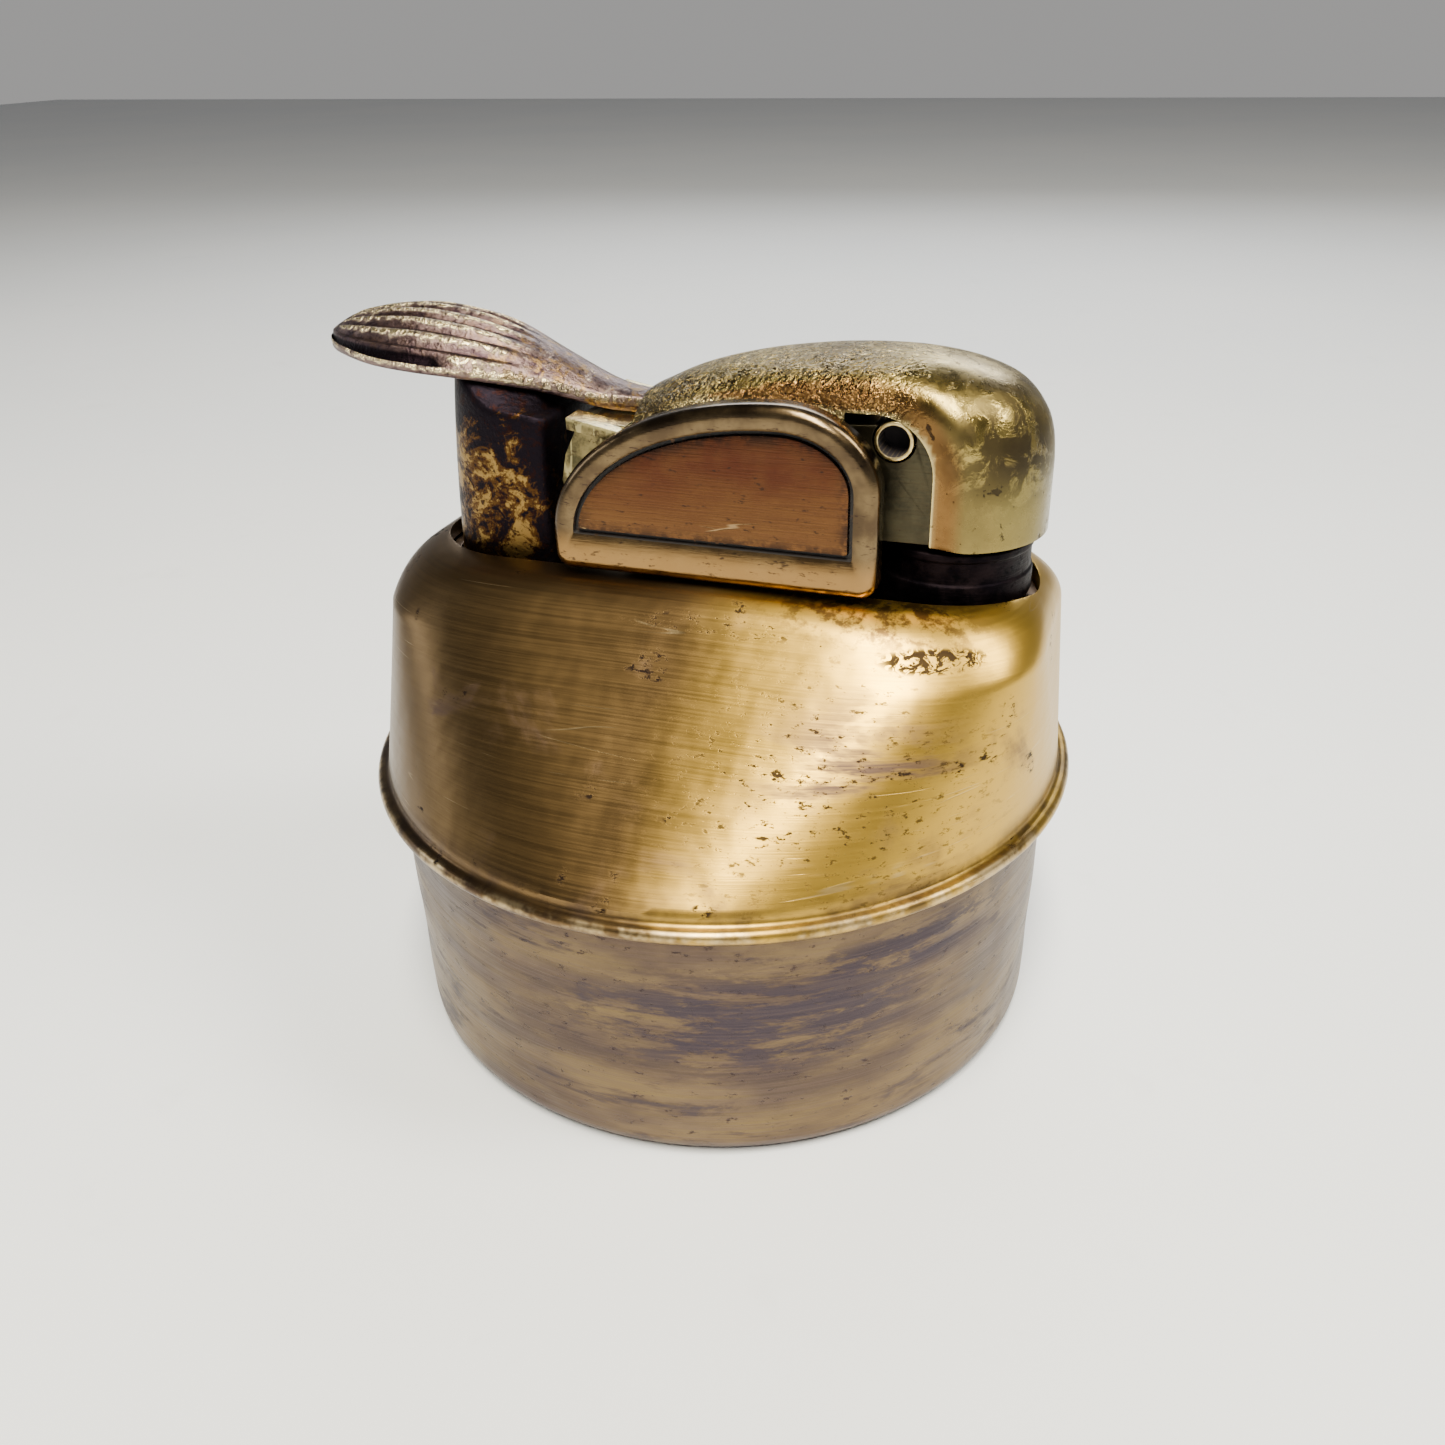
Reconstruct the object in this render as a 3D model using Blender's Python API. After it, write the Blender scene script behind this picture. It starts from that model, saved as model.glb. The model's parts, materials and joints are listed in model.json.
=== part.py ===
"""Drop-in table lighter: a fuel cup and dome with a lift-arm mechanism on top.

Every dimension below is in millimetres; skin() turns them into metres.
Frame: origin at the centre of the cup's bottom face, +Z up, +X towards the
snuffer, -X towards the thumb pad, side plates facing -Y and +Y.
"""
from math import asin, cos, pi, radians, sin, sqrt, tau

import bmesh
import bpy

MM = 0.001

# ---- driving dimensions ------------------------------------------------------
GAP = 0.3                  # clearance between neighbouring pieces
BEAD_Z = 16.2              # height of the rolled bead that seats on a holder
BEAD_R = 21.25
CUP_R_TOP = 19.97
CUP_R_BOTTOM = 19.8
SHEET = 0.8                # wall of the cup and the dome

DOME_BASE_R = 20.5
DOME_TOP_Z = BEAD_Z + 12.6
DOME_TOP_HALF_LENGTH = 19.2
DOME_TOP_HALF_DEPTH = 8.1
DOME_TOP_OFFSET_X = 0.3
DOME_END_ROUND = 2.8       # rounding over the two ends of the flat top
DOME_FRONT_ROUND = 0.9     # rounding over its long edges
SLOT_CENTRE_X = 0.8
SLOT_HALF_LENGTH = 17.7
SLOT_HALF_WIDTH = 5.5

# pivot axes, all parallel to Y: (x, z)
LEVER_AXIS = (-2.5, BEAD_Z + 14.0)
SNUFFER_AXIS = (-1.5, BEAD_Z + 18.2)
WHEEL_AXIS = (5.5, BEAD_Z + 16.8)
AXLE_R = 0.75
RUNNING = 0.12             # radial clearance of an axle in its hole

# lanes across the mechanism, as (inner, outer) distances from the middle plane
FRAME_LANE = (2.1, 2.7)
YOKE_LANE = (3.0, 3.5)
CHEEK_LANE = (3.8, 4.2)
SHELL_LANE = (4.5, 5.0)
PLATE_LANE = (5.3, 6.9)

WICK_X = 13.7              # centre of the wick, the burner cup and the snuffer cap
FILLER_X = -8.0            # centre of the filler opening in the cup's bottom
FLINT_X = WHEEL_AXIS[0]
SCREW_X = 1.5              # the two screws that hold the frame to the pan
SCREW_Y = 4.1
SNUFFER_PIN = (11.0, BEAD_Z + 20.7)

WHEEL_R = 3.2
WHEEL_TEETH = 24
RATCHET_R = 2.5
RATCHET_TEETH = 10
SPRING_X = -11.4           # centre of the coil spring under the thumb skirt
SPRING_R = 1.85

ROUND = 40                 # facets round a large turned piece
SMALL_ROUND = 20           # facets round an axle, a tube or a screw


# ---- modelling helpers -------------------------------------------------------
for old in list(bpy.data.objects):
    bpy.data.objects.remove(old, do_unlink=True)


def material(name, colour, roughness, metallic=1.0):
    """A Principled material in one colour."""
    mat = bpy.data.materials.new(name)
    mat.use_nodes = True
    shader = mat.node_tree.nodes["Principled BSDF"]
    shader.inputs["Base Color"].default_value = (*colour, 1.0)
    shader.inputs["Roughness"].default_value = roughness
    shader.inputs["Metallic"].default_value = metallic
    mat.diffuse_color = (*colour, 1.0)
    return mat


def pivot(name, place):
    """An empty on a joint's axis; place is (x, y, z)."""
    empty = bpy.data.objects.new(name, None)
    empty.location = [v * MM for v in place]
    bpy.context.collection.objects.link(empty)
    return empty


def lay_rings(bm, rings, parent):
    """Lay rings of points down as vertices, measured from the parent's origin."""
    origin = parent.location if parent else (0.0, 0.0, 0.0)
    return [[bm.verts.new([c * MM - o for c, o in zip(point, origin)]) for point in ring]
            for ring in rings]


def join_rings(bm, pairs):
    """Join each pair of equal rings with a band of faces."""
    for lower, upper in pairs:
        count = len(lower)
        for i in range(count):
            j = (i + 1) % count
            bm.faces.new((lower[i], lower[j], upper[j], upper[i]))


def make_object(name, bm, mat, parent):
    """Close the seams of a body and add it to the scene, shaded smooth but for its edges."""
    bmesh.ops.remove_doubles(bm, verts=bm.verts, dist=2e-6)
    bmesh.ops.recalc_face_normals(bm, faces=bm.faces)
    mesh = bpy.data.meshes.new(name)
    bm.to_mesh(mesh)
    bm.free()
    mesh.shade_smooth()
    mesh.set_sharp_from_angle(angle=radians(35))
    if mat:
        mesh.materials.append(mat)
    obj = bpy.data.objects.new(name, mesh)
    bpy.context.collection.objects.link(obj)
    obj.parent = parent
    return obj


def skin(name, rings, mat, parent=None, loop=False, caps=(0, -1)):
    """Skin a list of equal rings of points into one closed body.

    loop joins the last ring to the first; otherwise the rings named in caps are filled.
    A ring whose points coincide closes to a single point.
    """
    bm = bmesh.new()
    verts = lay_rings(bm, rings, parent)
    join_rings(bm, zip(verts, verts[1:]))
    if loop:
        join_rings(bm, [(verts[-1], verts[0])])
    else:
        for ring in [verts[i] for i in caps]:
            if (ring[0].co - ring[len(ring) // 2].co).length > 1e-6:
                bm.faces.new(ring)
    return make_object(name, bm, mat, parent)


def skin_cup(name, outside, inside, mat, parent=None):
    """A cup-shaped sheet: the outside closes to a point, the inside opens from one."""
    bm = bmesh.new()
    outer, inner = lay_rings(bm, outside, parent), lay_rings(bm, inside, parent)
    join_rings(bm, zip(outer, outer[1:]))
    join_rings(bm, zip(inner, inner[1:]))
    join_rings(bm, [(inner[-1], outer[0])])
    return make_object(name, bm, mat, parent)


def circle(radius, count, axis, along, centre=(0.0, 0.0)):
    """A ring of points round an axis, "Z" or "Y", at the distance along it."""
    points = []
    for i in range(count):
        a = tau * (i + 0.5) / count
        u, v = centre[0] + radius * cos(a), centre[1] + radius * sin(a)
        points.append((u, v, along) if axis == "Z" else (u, along, v))
    return points


def turned(name, profile, mat, count=ROUND, axis="Z", centre=(0.0, 0.0), parent=None, loop=False):
    """A turned body; profile is a list of (radius, distance along the axis)."""
    rings = [circle(r, count, axis, t, centre) for r, t in profile]
    return skin(name, rings, mat, parent, loop)


def rod(name, axle_axis, half_length, radius, mat, parent=None):
    """A round rod along Y, centred on the middle plane."""
    profile = [(radius, -half_length), (radius, half_length)]
    return turned(name, profile, mat, SMALL_ROUND, "Y", axle_axis, parent)


def slab(name, outline, near, far, mat, parent=None):
    """An XZ outline with its thickness along Y, from near to far."""
    rings = [[(x, y, z) for x, z in outline] for y in (near, far)]
    return skin(name, rings, mat, parent)


def block(name, low, high, mat, parent=None):
    """A box between two corners."""
    outline = [(low[0], low[2]), (high[0], low[2]), (high[0], high[2]), (low[0], high[2])]
    return slab(name, outline, low[1], high[1], mat, parent)


def as_tool(tool):
    """Hide an object that only shapes another one."""
    tool.hide_render = True
    tool.display_type = "WIRE"
    return tool


def combine(body, tools, operation):
    """Stack one exact Boolean per tool on the body."""
    for tool in tools:
        as_tool(tool)
        mod = body.modifiers.new(tool.name, "BOOLEAN")
        mod.operation = operation
        mod.solver = "EXACT"
        mod.object = tool


def hole(name, x, radius, low, high, y=0.0, parent=None):
    """A round cutter along Z."""
    return turned(name, [(radius, low), (radius, high)], None, SMALL_ROUND, "Z", (x, y), parent)


def cross_hole(name, axle_axis, parent=None, radius=AXLE_R + RUNNING):
    """A round cutter along Y through the whole mechanism."""
    return rod(name, axle_axis, 8.0, radius, None, parent)


def coil(name, path_radius, wire, turns, start, end, mat, axis, centre, steps=10, sides=5):
    """A coil spring of round wire whose turns run from start to end along an axis."""
    rings = []
    total = int(turns * steps)
    for k in range(total + 1):
        a = tau * k / steps
        along = start + wire + (end - start - 2 * wire) * k / total
        ring = []
        for s in range(sides):
            b = tau * s / sides
            r, t = path_radius + wire * cos(b), along + wire * sin(b)
            u, v = centre[0] + r * cos(a), centre[1] + r * sin(a)
            ring.append((u, v, t) if axis == "Z" else (u, t, v))
        rings.append(ring)
    return skin(name, rings, mat)


def smooth_through(table, x):
    """Read a smooth curve through rows of (x, value, ...) at x."""
    last = len(table) - 2
    i = 0
    while i < last and x > table[i + 1][0]:
        i += 1
    p1, p2 = table[i], table[i + 1]
    p0 = table[max(i - 1, 0)]
    p3 = table[min(i + 2, len(table) - 1)]
    span = p2[0] - p1[0]
    t = min(max((x - p1[0]) / span, 0.0), 1.0)
    values = []
    for k in range(1, len(p1)):
        m1 = (p2[k] - p0[k]) / (p2[0] - p0[0]) * span
        m2 = (p3[k] - p1[k]) / (p3[0] - p1[0]) * span
        values.append((2 * t**3 - 3 * t**2 + 1) * p1[k] + (t**3 - 2 * t**2 + t) * m1
                      + (3 * t**2 - 2 * t**3) * p2[k] + (t**3 - t**2) * m2)
    return values


# ---- materials ---------------------------------------------------------------
BODY_BRASS = material("body_brass", (0.42, 0.31, 0.12), 0.38)
CUP_BRASS = material("cup_brass", (0.42, 0.30, 0.15), 0.48)
PLATE_BRASS = material("plate_brass", (0.56, 0.34, 0.16), 0.28)
SNUFFER_BRASS = material("snuffer_brass", (0.50, 0.40, 0.12), 0.34)
CHEEK_BRASS = material("cheek_brass", (0.36, 0.32, 0.14), 0.35)
DARK_BRASS = material("dark_brass", (0.30, 0.22, 0.18), 0.45)
MOTTLED_BRASS = material("mottled_brass", (0.35, 0.20, 0.08), 0.55)
BRIGHT_BRASS = material("bright_brass", (0.70, 0.56, 0.22), 0.28)
SOOTY_BRASS = material("sooty_brass", (0.07, 0.05, 0.05), 0.6)
STEEL = material("steel", (0.45, 0.44, 0.42), 0.35)
FLINT_METAL = material("flint_metal", (0.18, 0.17, 0.16), 0.6)
COTTON = material("cotton", (0.85, 0.82, 0.74), 0.95, 0.0)
FELT = material("felt", (0.62, 0.58, 0.50), 0.95, 0.0)
FIBRE = material("fibre", (0.45, 0.16, 0.10), 0.8, 0.0)


# ---- cup, dome and the pan under the mechanism -------------------------------
CUP_FLOOR = 1.0
SPIGOT_DEPTH = 3.2         # how far the dome reaches down into the cup
BEAD_HALF = 0.4            # half the bead's height
CUP_RIM_Z = BEAD_Z - BEAD_HALF - GAP
SEAT_INNER_R = CUP_R_TOP + GAP   # the bead's flat underside, outside the cup's wall


def base_cup():
    """The fuel cup, open on top, with two round holes in its floor."""
    inner = CUP_R_TOP - SHEET
    profile = [(0.0, 0.0), (CUP_R_BOTTOM - 1.2, 0.0), (CUP_R_BOTTOM - 0.35, 0.35),
               (CUP_R_BOTTOM, 1.2), (CUP_R_TOP, CUP_RIM_Z), (inner, CUP_RIM_Z),
               (inner, CUP_FLOOR), (0.0, CUP_FLOOR)]
    cup = turned("base_cup", profile, CUP_BRASS, 52)
    combine(cup, [hole("filler_hole_tool", FILLER_X, 3.4, -2.0, 3.0),
                  hole("flint_hole_tool", FLINT_X, 2.7, -2.0, 3.0)], "DIFFERENCE")


def soft_sign(value, softness):
    """The sign of value, eased through zero."""
    return (1 if value >= 0 else -1) * abs(value) ** softness


def oblong(half_length, half_depth, corner, z, offset_x, count, softness):
    """A rounded oblong in plan whose long sides bow slightly."""
    ring = []
    for i in range(count):
        a = tau * (i + 0.5) / count
        x = offset_x + (half_length - corner) * soft_sign(cos(a), softness) + corner * cos(a)
        y = (half_depth - corner) * soft_sign(sin(a), 0.12) + corner * sin(a)
        ring.append((x, y, z))
    return ring


def mix(ring_a, ring_b, share):
    """A ring part of the way from one ring to another."""
    return [tuple(p + (q - p) * share for p, q in zip(a, b)) for a, b in zip(ring_a, ring_b)]


def dome_wall(shrink, top_z, base_z, count, levels):
    """Rings of the lofted wall from the round base up over the rounded top edge."""
    softness = 0.22
    end_round = DOME_END_ROUND - shrink
    front_round = max(DOME_FRONT_ROUND - shrink, 0.1)
    length = DOME_TOP_HALF_LENGTH - shrink
    depth = DOME_TOP_HALF_DEPTH - shrink
    base_r = DOME_BASE_R - shrink * 1.15
    shoulder_z = top_z - end_round
    base = [(base_r * cos(tau * (i + 0.5) / count), base_r * sin(tau * (i + 0.5) / count), base_z)
            for i in range(count)]

    def top_ring(angle):
        """The plan outline at a point of the rounding, 0 at its foot and 90 degrees on top."""
        end_in = end_round * (1 - cos(angle))
        rise = end_round * sin(angle)
        flat = top_z - front_round
        z = shoulder_z + rise
        tilt = 0.0
        if z > flat:
            tilt = front_round - sqrt(max(front_round ** 2 - (z - flat) ** 2, 0.0))
        slope = (base_r - depth) / (top_z - base_z)
        front = depth + slope * (top_z - z) - tilt
        return oblong(length - end_in, front, 6.4, z, DOME_TOP_OFFSET_X, count, softness)

    foot = top_ring(0.0)
    rings = [mix(base, foot, k / levels) for k in range(levels + 1)]
    rings += [top_ring(radians(a)) for a in (30, 55, 74, 90)]
    return rings


def stadium(half_length, half_width, z, centre_x, arc_steps=11):
    """Two half circles joined by straight sides, in plan."""
    straight = half_length - half_width
    ring = []
    for side, start in ((1, -90), (-1, 90)):
        for k in range(arc_steps + 1):
            a = radians(start + 180 * k / arc_steps)
            ring.append((centre_x + side * straight + half_width * cos(a), half_width * sin(a), z))
    return ring


def dome_shell():
    """The dome with its rolled bead, the spigot that enters the cup, and the slot on top."""
    count = 52
    outer = dome_wall(0.0, DOME_TOP_Z, BEAD_Z + 0.9, count, 4)
    inner = dome_wall(SHEET, DOME_TOP_Z - SHEET, BEAD_Z + 0.4, count, 2)
    spigot_outer = CUP_R_TOP - SHEET - GAP
    spigot_inner = spigot_outer - 0.6

    def round_ring(radius, z):
        return [(radius * cos(tau * (i + 0.5) / count), radius * sin(tau * (i + 0.5) / count), z)
                for i in range(count)]

    relief = -BEAD_HALF + 0.1
    turned_part = [(spigot_outer, -SPIGOT_DEPTH), (spigot_outer, relief), (SEAT_INNER_R, relief),
                   (SEAT_INNER_R, -BEAD_HALF), (BEAD_R - 0.25, -BEAD_HALF), (BEAD_R, 0.0),
                   (BEAD_R - 0.25, BEAD_HALF), (DOME_BASE_R + 0.3, 0.5)]
    outside = [round_ring(r, BEAD_Z + z) for r, z in turned_part] + outer
    outside.append([(0.0, 0.0, DOME_TOP_Z)] * count)
    inside = [[(0.0, 0.0, DOME_TOP_Z - SHEET)] * count] + inner[::-1]
    inside += [round_ring(spigot_inner, BEAD_Z - depth) for depth in (BEAD_HALF, SPIGOT_DEPTH)]
    dome = skin_cup("dome_shell", outside, inside, BODY_BRASS)
    slot = [stadium(SLOT_HALF_LENGTH, SLOT_HALF_WIDTH, z, SLOT_CENTRE_X)
            for z in (DOME_TOP_Z - 6.0, DOME_TOP_Z + 3.0)]
    combine(dome, [skin("slot_tool", slot, None)], "DIFFERENCE")


PAN_FLOOR_Z = BEAD_Z + 4.3
PAN_SHEET = 0.6
PAN_TOP_Z = DOME_TOP_Z - SHEET - GAP - 0.1
PAN_HALF_WIDTH = 6.3
PAN_HALF_LENGTH = 17.7
PAN_CENTRE_X = 0.7


def well_pan():
    """The open pan that keeps the fuel below the mechanism."""
    steps = ((0.0, PAN_FLOOR_Z), (0.0, PAN_TOP_Z), (PAN_SHEET, PAN_TOP_Z),
             (PAN_SHEET, PAN_FLOOR_Z + PAN_SHEET))
    rings = [stadium(PAN_HALF_LENGTH - inset, PAN_HALF_WIDTH - inset, z, PAN_CENTRE_X)
             for inset, z in steps]
    pan = skin("well_pan", rings, DARK_BRASS)
    low, high = PAN_FLOOR_Z - 1, PAN_FLOOR_Z + 2
    combine(pan, [hole("pan_flint_tool", FLINT_X, 2.1, low, high),
                  hole("pan_wick_tool", WICK_X, 2.65, low, high),
                  hole("pan_screw_front_tool", SCREW_X, 0.85, low, high, -SCREW_Y),
                  hole("pan_screw_rear_tool", SCREW_X, 0.85, low, high, SCREW_Y)], "DIFFERENCE")


# ---- fixed frame, axles and side plates --------------------------------------
FRAME_FLOOR_Z = PAN_FLOOR_Z + PAN_SHEET + GAP
FRAME_SHEET = 0.6


def mechanism_frame():
    """A channel: a floor plate and two upright walls that carry the three axles."""
    floor_top = FRAME_FLOOR_Z + FRAME_SHEET
    half = [(-15.2, 3.0), (-13.6, 4.6), (-11.5, 5.2), (9.0, 5.2)]
    plan = [(x, -y) for x, y in half] + half[::-1]
    floor = skin("mechanism_frame", [[(x, y, z) for x, y in plan] for z in (FRAME_FLOOR_Z, floor_top)],
                 STEEL)
    outline = [(-4.4, FRAME_FLOOR_Z + 0.2), (8.9, FRAME_FLOOR_Z + 0.2), (8.9, BEAD_Z + 17.4),
               (7.2, BEAD_Z + 19.2), (1.0, BEAD_Z + 19.2), (-0.6, BEAD_Z + 19.6),
               (-2.4, BEAD_Z + 19.4), (-3.0, BEAD_Z + 17.4), (-4.4, BEAD_Z + 15.2)]
    inner, outer = FRAME_LANE
    combine(floor, [slab("frame_wall_front_tool", outline, -outer, -inner, None),
                    slab("frame_wall_rear_tool", outline, inner, outer, None)], "UNION")
    low, high = FRAME_FLOOR_Z - 1, FRAME_FLOOR_Z + 2
    combine(floor, [cross_hole("frame_lever_tool", LEVER_AXIS),
                    cross_hole("frame_snuffer_tool", SNUFFER_AXIS),
                    cross_hole("frame_wheel_tool", WHEEL_AXIS),
                    hole("frame_flint_tool", FLINT_X, 2.05, low, FRAME_FLOOR_Z + 1.2),
                    hole("frame_screw_front_tool", SCREW_X, 0.85, low, high, -SCREW_Y),
                    hole("frame_screw_rear_tool", SCREW_X, 0.85, low, high, SCREW_Y)],
            "DIFFERENCE")


def frame_screws():
    """Two short screws that hold the frame's floor to the pan."""
    head_z = FRAME_FLOOR_Z + FRAME_SHEET + GAP
    for side, y in (("front", -SCREW_Y), ("rear", SCREW_Y)):
        profile = [(0.55, PAN_FLOOR_Z - 0.9), (0.55, head_z), (0.95, head_z), (0.95, head_z + 0.4),
                   (0.6, head_z + 0.7)]
        turned("frame_screw_" + side, profile, STEEL, SMALL_ROUND, "Z", (SCREW_X, y))


def axles():
    """The three fixed rods that the lever, the snuffer and the wheel turn on."""
    plate_reach = PLATE_LANE[0] - GAP
    rod("lever_axle", LEVER_AXIS, plate_reach, AXLE_R, STEEL)
    rod("snuffer_axle", SNUFFER_AXIS, plate_reach, AXLE_R, STEEL)
    rod("wheel_axle", WHEEL_AXIS, YOKE_LANE[1], AXLE_R, STEEL)


PLATE_BOTTOM = DOME_TOP_Z + GAP
PLATE_CREST_X = 5.5
PLATE_TOP = BEAD_Z + 22.75
PLATE_LEFT = -7.25
PLATE_RIGHT = 10.87
PLATE_CORNER = 0.9
PLATE_SWEEP_Z = BEAD_Z + 15.0    # where the long sweep leaves the straight left edge
PLATE_SHOULDER = 4.35            # height of the tight curve on the right


def half_moon(inset, floor_inset, arc_steps=9):
    """The side plate's outline: a long sweep on the left, a tight one on the right."""
    left_a = PLATE_CREST_X - PLATE_LEFT - inset
    left_b = PLATE_TOP - PLATE_SWEEP_Z - inset
    right_a = PLATE_RIGHT - PLATE_CREST_X - inset
    right_b = PLATE_SHOULDER - inset
    corner = max(PLATE_CORNER - inset, 0.15)
    low = PLATE_BOTTOM + floor_inset
    right = PLATE_CREST_X + right_a
    sweep_start = asin(max(low + corner - PLATE_SWEEP_Z, 0.0) / left_b)
    left = PLATE_CREST_X - left_a * cos(sweep_start)
    points = []
    for k in range(4):
        a = radians(90 * k / 3)
        points.append((left + corner - corner * sin(a), low + corner - corner * cos(a)))
    for k in range(1, arc_steps):
        a = sweep_start + (pi / 2 - sweep_start) * k / arc_steps
        points.append((PLATE_CREST_X - left_a * cos(a), PLATE_SWEEP_Z + left_b * sin(a)))
    for k in range(arc_steps - 2):
        a = radians(90 - 90 * k / (arc_steps - 3))
        points.append((PLATE_CREST_X + right_a * cos(a), PLATE_TOP - inset - right_b + right_b * sin(a)))
    for k in range(4):
        a = radians(90 * k / 3)
        points.append((right - corner + corner * cos(a), low + corner - corner * sin(a)))
    return points


def side_plates():
    """Two mirrored half-moon plates with a raised rim and a sunk panel."""
    inner, outer = PLATE_LANE
    steps = ((0.0, 0.0, inner), (0.0, 0.0, outer - 0.6), (0.25, 0.25, outer - 0.2),
             (0.6, 0.6, outer), (1.25, 2.1, outer), (1.5, 2.35, outer - 0.35))
    for name, side in (("front_side_plate", -1), ("rear_side_plate", 1)):
        rings = [[(x, side * y, z) for x, z in half_moon(inset, low)] for inset, low, y in steps]
        skin(name, rings, PLATE_BRASS)


# ---- burner, wick, tank filling ----------------------------------------------
def burner():
    """The cup round the flame, the tube that holds the wick, and the wick."""
    centre = (WICK_X, 0.0)
    foot = PAN_FLOOR_Z + PAN_SHEET + GAP
    rim = BEAD_Z + 14.9
    profile = [(3.4, foot), (3.4, DOME_TOP_Z - 0.8), (4.3, DOME_TOP_Z - 0.8), (4.3, rim), (3.6, rim),
               (3.6, rim + 1.3), (3.1, rim + 1.3), (3.1, rim - 3.0), (2.65, rim - 3.0), (2.65, foot)]
    turned("burner_cup", profile, SOOTY_BRASS, 36, "Z", centre, loop=True)
    tube = [(2.3, PAN_FLOOR_Z - 0.9), (2.3, rim - 2.4), (1.8, rim - 2.4), (1.8, PAN_FLOOR_Z - 0.9)]
    turned("wick_tube", tube, BRIGHT_BRASS, SMALL_ROUND, "Z", centre, loop=True)
    wick_top = BEAD_Z + 17.5
    profile = [(1.5, 12.0), (1.5, wick_top - 0.5), (1.1, wick_top)]
    turned("wick", profile, COTTON, SMALL_ROUND, "Z", centre)


def tank_filling():
    """Cotton over a felt pad, bored for the wick, the flint tube and the filler bush."""
    felt = turned("felt_pad", [(18.5, 1.4), (18.5, 4.2)], FELT)
    combine(felt, [hole("felt_filler_tool", FILLER_X, 4.8, 0.0, 6.0),
                   hole("felt_flint_tool", FLINT_X, 2.4, 0.0, 6.0)], "DIFFERENCE")
    cotton_top = PAN_FLOOR_Z - 1.2
    profile = [(17.6, 4.5), (17.6, BEAD_Z + 0.6), (15.4, cotton_top)]
    cotton = turned("cotton_wadding", profile, COTTON)
    combine(cotton, [hole("cotton_filler_tool", FILLER_X, 4.8, 3.0, 6.5),
                     hole("cotton_flint_tool", FLINT_X, 2.1, 3.0, 22.0),
                     hole("cotton_wick_tool", WICK_X, 1.9, 11.6, 22.0)], "DIFFERENCE")


def filler():
    """The threaded bush in the cup's floor, its sealing ring and its screw."""
    centre = (FILLER_X, 0.0)
    profile = [(4.4, CUP_FLOOR + GAP), (4.4, 5.3), (2.25, 5.3), (2.25, 2.25), (3.4, 2.25),
               (3.4, CUP_FLOOR + GAP)]
    turned("filler_bush", profile, BRIGHT_BRASS, SMALL_ROUND, "Z", centre, loop=True)
    ring = [(3.1, 1.65), (3.1, 1.98), (2.2, 1.98), (2.2, 1.65)]
    turned("filler_gasket", ring, FIBRE, SMALL_ROUND, "Z", centre, loop=True)
    screw_pivot = pivot("filler_pivot", (FILLER_X, 0.0, 0.0))
    coin_screw("filler_screw", FILLER_X, 3.0, 1.9, 4.9, screw_pivot)


def coin_screw(name, x, head_r, shank_r, shank_top, parent):
    """A screw seen from below, with a slot across its sunk head."""
    head_low, head_high = 0.35, 1.4
    profile = [(head_r - 0.25, head_low), (head_r, head_low + 0.25), (head_r, head_high),
               (shank_r, head_high), (shank_r, shank_top - 0.4), (shank_r - 0.3, shank_top)]
    screw = turned(name, profile, BRIGHT_BRASS, 32, "Z", (x, 0.0), parent)
    half_slot = head_r * 0.15
    slot = block(name + "_slot_tool", (x - head_r - 1, -half_slot, -0.5),
                 (x + head_r + 1, half_slot, 0.93), None, parent)
    combine(screw, [slot], "DIFFERENCE")


FLINT_TUBE_TOP = WHEEL_AXIS[1] - WHEEL_R - 0.4
FLINT_TOP = WHEEL_AXIS[1] - WHEEL_R - 0.25
FLINT_LENGTH = 4.0
PLUNGER_LENGTH = 2.0


def flint_feed():
    """The tube that holds the flint, and the plunger, spring and screw below it."""
    centre = (FLINT_X, 0.0)
    profile = [(1.75, 1.8), (1.75, FLINT_TUBE_TOP), (1.35, FLINT_TUBE_TOP), (1.35, 1.8)]
    turned("flint_tube", profile, BRIGHT_BRASS, SMALL_ROUND, "Z", centre, loop=True)
    flint_low = FLINT_TOP - FLINT_LENGTH
    feed_pivot = pivot("flint_feed_pivot", (FLINT_X, 0.0, flint_low))
    turned("flint", [(1.15, flint_low), (1.15, FLINT_TOP)], FLINT_METAL, 16, "Z", centre, feed_pivot)
    plunger_top = flint_low - 0.2
    plunger_low = plunger_top - PLUNGER_LENGTH
    profile = [(0.5, plunger_low - 1.0), (0.5, plunger_low), (1.15, plunger_low), (1.15, plunger_top)]
    turned("flint_plunger", profile, BRIGHT_BRASS, 16, "Z", centre, feed_pivot)
    coil("flint_spring", 0.95, 0.16, 8, 4.9, plunger_low - 0.25, STEEL, "Z", centre, 8, 4)
    screw_pivot = pivot("flint_screw_pivot", (FLINT_X, 0.0, 0.0))
    coin_screw("flint_screw", FLINT_X, 2.3, 1.1, 4.6, screw_pivot)


# ---- spark wheel -------------------------------------------------------------
def toothed(name, radius, depth, teeth, lean, near, far, mat, parent):
    """A toothed disc on the wheel's axle; lean tips the teeth over for a ratchet."""
    outline = []
    for k in range(teeth):
        for share, r in ((0.0, radius - depth), (lean, radius)):
            a = tau * (k + share) / teeth
            outline.append((WHEEL_AXIS[0] + r * cos(a), WHEEL_AXIS[1] + r * sin(a)))
    disc = slab(name, outline, near, far, mat, parent)
    combine(disc, [cross_hole(name + "_bore_tool", WHEEL_AXIS, parent)], "DIFFERENCE")


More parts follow.
